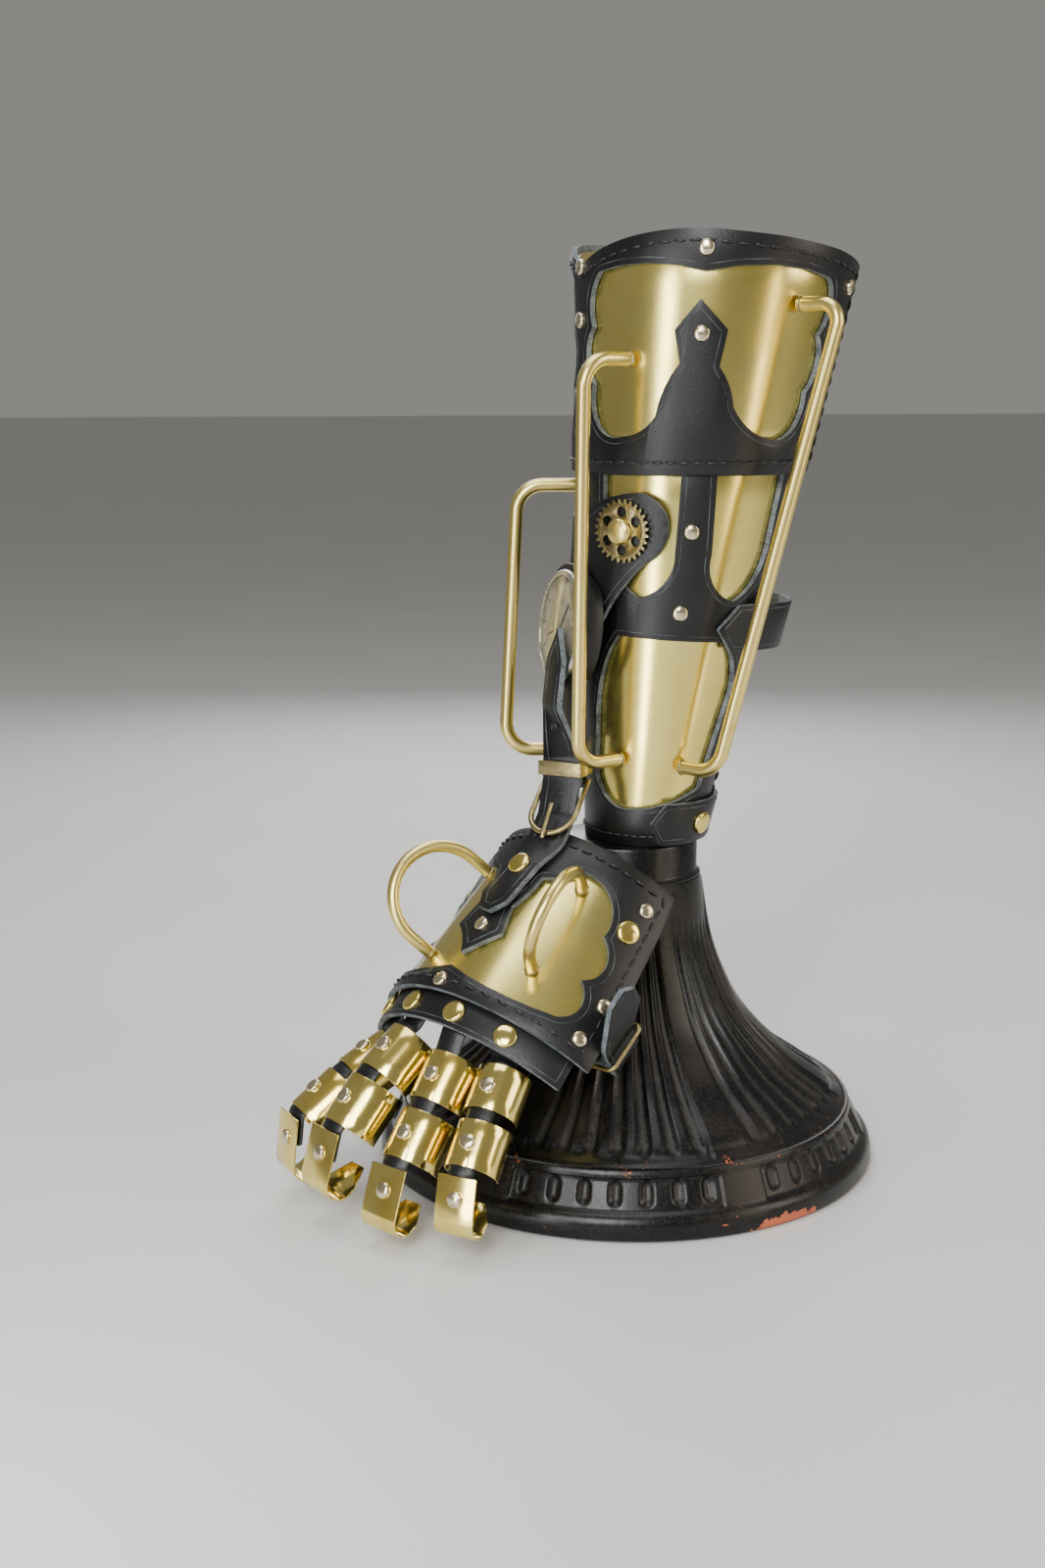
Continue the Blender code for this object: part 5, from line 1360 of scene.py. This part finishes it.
# Rivet caps: angle or share, height or share along, and where they sit
sleeveCaps = (
    # angle, height above the wrist edge, kind: 0 small, 1 large, 2 large on a closing strap
    (63.2, 0.2205, 0), (61.3, 0.2546, 0), (135.5, 0.2406, 0), (70.0, 0.1389, 0), (69.7, 0.1042, 0),
    (130.0, 0.0967, 2), (118.6, 0.0097, 2), (128.0, 0.1720, 1),
)
backCaps = (0.2490, 0.2270, 0.1960, 0.1800)
handCaps = (
    # share across, share along, large
    (0.868, 0.895, 0), (0.899, 0.690, 0), (0.817, 0.307, 1), (0.851, 0.157, 0),
)
middleCaps = ((-0.006, 0.949, stack, smallCaps), (0.015, 0.608, stack, smallCaps),
              (0.034, 0.253, stack + 3 * gap + leather, largeCaps))
capSizes = {"small": (0.0034, 0.0019), "large": (0.0052, 0.0021)}   # radius and rise


def handCap(share, along, lift, caps):
    along *= guard["length"]
    caps.append(standing(handShare(share, along, lift), handNormal(share, along), handWay))


def buildCaps():
    for angle, height, kind in sleeveCaps:
        for side in (1, -1):
            turn = side * math.radians(angle)
            surface = cuffSurface if height > cuffBottom else sleeve
            lift = secondStack if height > cuffBottom or kind == 2 else stack
            normal = surfaceNormal(sleeve, turn, height)
            place = standing(surface(turn, height, lift), normal, upward)
            (largeCaps if kind else smallCaps).append(place)
    for height in backCaps:
        normal = surfaceNormal(sleeve, 0.0, height)
        smallCaps.append(standing(cuffSurface(0.0, height, secondStack), normal, upward))
    for share, along, large in handCaps:
        for side in (1, -1):
            handCap(side * share, along, stack, largeCaps if large else smallCaps)
    for row in middleCaps:
        handCap(*row)
    for _, arc, *_ in fingers:
        turn = math.radians(arc)
        spot = hand(turn, guard["length"] + guard["knuckleBand"] * 0.30, -brass - gap)
        normal = (hand(turn, guard["length"], 0.001) - hand(turn, guard["length"], 0)).normalized()
        largeCaps.append(standing(spot, normal, handWay))
    small = turned("smallCapModel", domeProfile(*capSizes["small"]), 32)
    settle(placedCopies("smallRivetCaps", small, smallCaps), (brassCap,), smooth=45)
    large = turned("largeCapModel", domeProfile(*capSizes["large"]), 40)
    settle(placedCopies("largeRivetCaps", large, largeCaps), (brassPolished,), smooth=45)


buildCaps()
addSolderRings()
print("rivets")


# The fluted stand
standShape = {"radius": 0.1135, "flare": 0.1307, "top": 0.1477, "neck": 0.0315, "post": 0.008,
              "postTop": 0.3297, "panels": 6, "flutes": 7, "rib": 10.0, "ribTurn": -85.0,
              "depth": 0.0022, "recess": 0.0011, "around": 1008, "panelEdge": 0.0010, "fluteShare": 0.34,
              "fullWidth": 0.0022, "blunt": 1.3, "roundness": 1.5, "weld": 0.000005}
# Half the width, ends and taper of the flutes, and where their panel sinks and rises again
footFlutes = (0.0034, 0.0158, 0.0202, 1.0, (0.0112, 0.0122, 0.0236, 0.0242))
flareFlutes = (None, 0.0330, 0.0980, 0.12, (0.0285, 0.0300, 0.1050, 0.1250))   # None: a share of the pitch
footTop, smoothFrom = 0.0265, 13
standRows = (
    # radius and height as shares of the foot and of the flare, and the steps to the next row
    (0.985, 0.000, 1), (0.995, 0.006, 1), (1.000, 0.020, 1), (1.000, 0.045, 2), (0.993, 0.068, 2),
    (0.978, 0.083, 1), (0.968, 0.088, 16), (0.915, 0.182, 2), (0.911, 0.193, 1), (0.908, 0.203, 1),
    (0.901, 0.209, 1), (0.892, 0.208, 1), (0.884, 0.210, 6), (0.845, 0.236, 6), (0.800, 0.272, 8),
    (0.640, 0.370, 10), (0.478, 0.520, 8), (0.400, 0.640, 7), (0.338, 0.790, 6), (0.296, 1.000, 0),
)


def standLevels():
    # the flare above the ledge runs smoothly through its rows
    levels = []
    for index, (radius, height, count) in enumerate(standRows[:-1]):
        here, there = Vector((radius, height)), Vector(standRows[index + 1][:2])
        before = Vector(standRows[index - 1][:2]) if index > smoothFrom else here - (there - here)
        after = Vector(standRows[index + 2][:2]) if index + 2 < len(standRows) else there + (there - here)
        for step in range(count):
            share = step / count
            if index < smoothFrom:
                levels.append(here.lerp(there, share))
            else:
                squared, cubed = share * share, share ** 3
                levels.append(0.5 * (2 * here + (there - before) * share
                                     + (2 * before - 5 * here + 4 * there - after) * squared
                                     + (3 * here - before - 3 * there + after) * cubed))
    levels.append(Vector(standRows[-1][:2]))
    return levels


def fluteDepth(turn, radius, height):
    s = standShape
    panel = 360 / s["panels"]
    local = (math.degrees(turn) - s["ribTurn"] + panel * s["panels"]) % panel - s["rib"] / 2
    span = panel - s["rib"]
    inside = min(local, span - local) if 0 <= local <= span else -1.0
    step = ramp(math.radians(inside) * radius, 0.0, s["panelEdge"])
    pitch = span / s["flutes"]
    flute = math.radians(pitch) * radius
    aside = abs((local % pitch) / pitch - 0.5) * flute
    width, low, high, taper, panelRows = footFlutes if height < footTop else flareFlutes
    width = width or s["fluteShare"] * flute
    sink, sunk, rise, risen = panelRows
    panelShare = ramp(height, sink, sunk) * ramp(-height, -risen, -rise)
    beyond = max(low - height, 0.0) * s["blunt"] + max(height - high, 0.0) * taper
    near = math.hypot(aside, beyond) / width
    hollow = (1 - near * near) ** s["roundness"] if near < 1 and inside > 0 else 0.0
    depth = s["depth"] * hollow * min(1.0, width / s["fullWidth"])
    return s["recess"] * step * panelShare + depth, hollow


def buildStand():
    s = standShape
    levels = standLevels()
    thing = added(bpy.ops.mesh.primitive_grid_add, x_subdivisions=s["around"],
                  y_subdivisions=len(levels) - 1, size=2)
    thing.name = thing.data.name = "standFlare"
    dust = thing.data.attributes.new("hollow", "FLOAT", "POINT").data
    for index, vert in enumerate(thing.data.vertices):
        turn = (vert.co.x + 1) * math.pi
        level = levels[round((vert.co.y + 1) / 2 * (len(levels) - 1))]
        radius, height = level.x * s["radius"], level.y * s["flare"]
        depth, dust[index].value = fluteDepth(turn, radius, height)
        radius -= depth
        vert.co = (radius * math.cos(turn), radius * math.sin(turn), height)
    editAll(thing)
    bpy.ops.mesh.remove_doubles(threshold=s["weld"])
    bpy.ops.mesh.select_all(action="DESELECT")
    bpy.ops.mesh.select_non_manifold()
    bpy.ops.mesh.edge_face_add()
    turnOut(thing)
    settle(thing, (bronze,), ("stand",), smooth=38)
    neck, post, top, base = s["neck"], s["post"], s["top"], s["flare"] - 0.002
    profile = [(0.0, base), (neck + 0.0016, base), (neck + 0.0016, base + 0.0030),
               (neck + 0.0004, base + 0.0042), (neck, base + 0.0050), (neck, top - 0.0012),
               (neck - 0.0004, top - 0.0003), (neck - 0.0012, top), (post + 0.0010, top),
               (post, top + 0.0008), (post, s["postTop"] - 0.001), (post - 0.001, s["postTop"]),
               (0.0, s["postTop"])]
    settle(turned("standNeck", profile, 72), (bronze,), ("stand",), smooth=38)


buildStand()
print("stand")


# Floor, light and camera
view = {"azimuth": math.radians(-20), "pitch": math.radians(11.25), "away": 0.87, "height": 0.344,
        "across": 0.0478, "lens": 45.0}


backdrop = {"colour": (0.62, 0.60, 0.56), "strength": 0.42, "floor": 60.0, "drop": 0.0004}
lamps = (
    # name, place, aim, width and height, power, colour
    ("keyLight", (-0.75, -1.15, 0.95), (0, 0, 0.22), (0.55, 0.9), 20.0, (1.0, 1.0, 1.0)),
    ("stripLight", (-0.46, -0.31, 0.23), (0, 0, 0.25), (0.09, 0.44), 1.5, (1.0, 1.0, 1.0)),
    ("warmStrip", (0.30, -0.50, 0.20), (0.03, 0, 0.25), (0.05, 0.38), 0.35, (1.0, 0.84, 0.60)),
    ("fillLight", (0.95, -0.75, 0.70), (0, 0, 0.22), (0.45, 0.8), 6.0, (1.0, 0.90, 0.76)),
    ("topLight", (-0.1, 0.1, 1.35), (0, 0, 0.2), (0.9, 0.9), 10.0, (1.0, 1.0, 1.0)),
    ("rimLight", (0.35, 1.05, 0.75), (0, 0, 0.25), (0.6, 0.8), 8.0, (1.0, 1.0, 1.0)),
)


def buildFloor():
    floor = added(bpy.ops.mesh.primitive_plane_add, size=backdrop["floor"],
                  location=(0, 0, -backdrop["drop"]))
    floor.name = "floor"
    make = Finish("paleFloor")
    floor.data.materials.append(make.done(make.tone(make.noise(6.0, rough=0.5)), 0.75))


def softbox(name, spot, aim, size, power, warmth):
    lamp = bpy.data.lights.new(name, "AREA")
    lamp.shape, lamp.energy, lamp.color = "RECTANGLE", power, warmth
    lamp.size, lamp.size_y = size
    thing = bpy.data.objects.new(name, lamp)
    thing.location = spot
    thing.rotation_euler = (Vector(aim) - Vector(spot)).to_track_quat("-Z", "Y").to_euler()
    thing.visible_camera = False
    bpy.context.scene.collection.objects.link(thing)


def buildLight():
    world = bpy.data.worlds.new("studio")
    bpy.context.scene.world = world
    world.use_nodes = True
    background = world.node_tree.nodes["Background"]
    background.inputs["Color"].default_value = tint(backdrop["colour"])
    background.inputs["Strength"].default_value = backdrop["strength"]
    for row in lamps:
        softbox(*row)


def buildCamera():
    turn, pitch = view["azimuth"], view["pitch"]
    right = Vector((math.cos(turn), math.sin(turn), 0))
    back = Vector((math.sin(turn), -math.cos(turn), 0))
    camera = bpy.data.cameras.new("camera")
    camera.lens, camera.sensor_width, camera.sensor_fit = view["lens"], 36.0, "AUTO"
    thing = bpy.data.objects.new("camera", camera)
    thing.location = back * view["away"] - right * view["across"] + upward * view["height"]
    forward = -back * math.cos(pitch) - upward * math.sin(pitch)
    thing.rotation_euler = forward.to_track_quat("-Z", "Y").to_euler()
    bpy.context.scene.collection.objects.link(thing)
    bpy.context.scene.camera = thing


buildFloor()
buildLight()
buildCamera()
print("floor, light and camera")
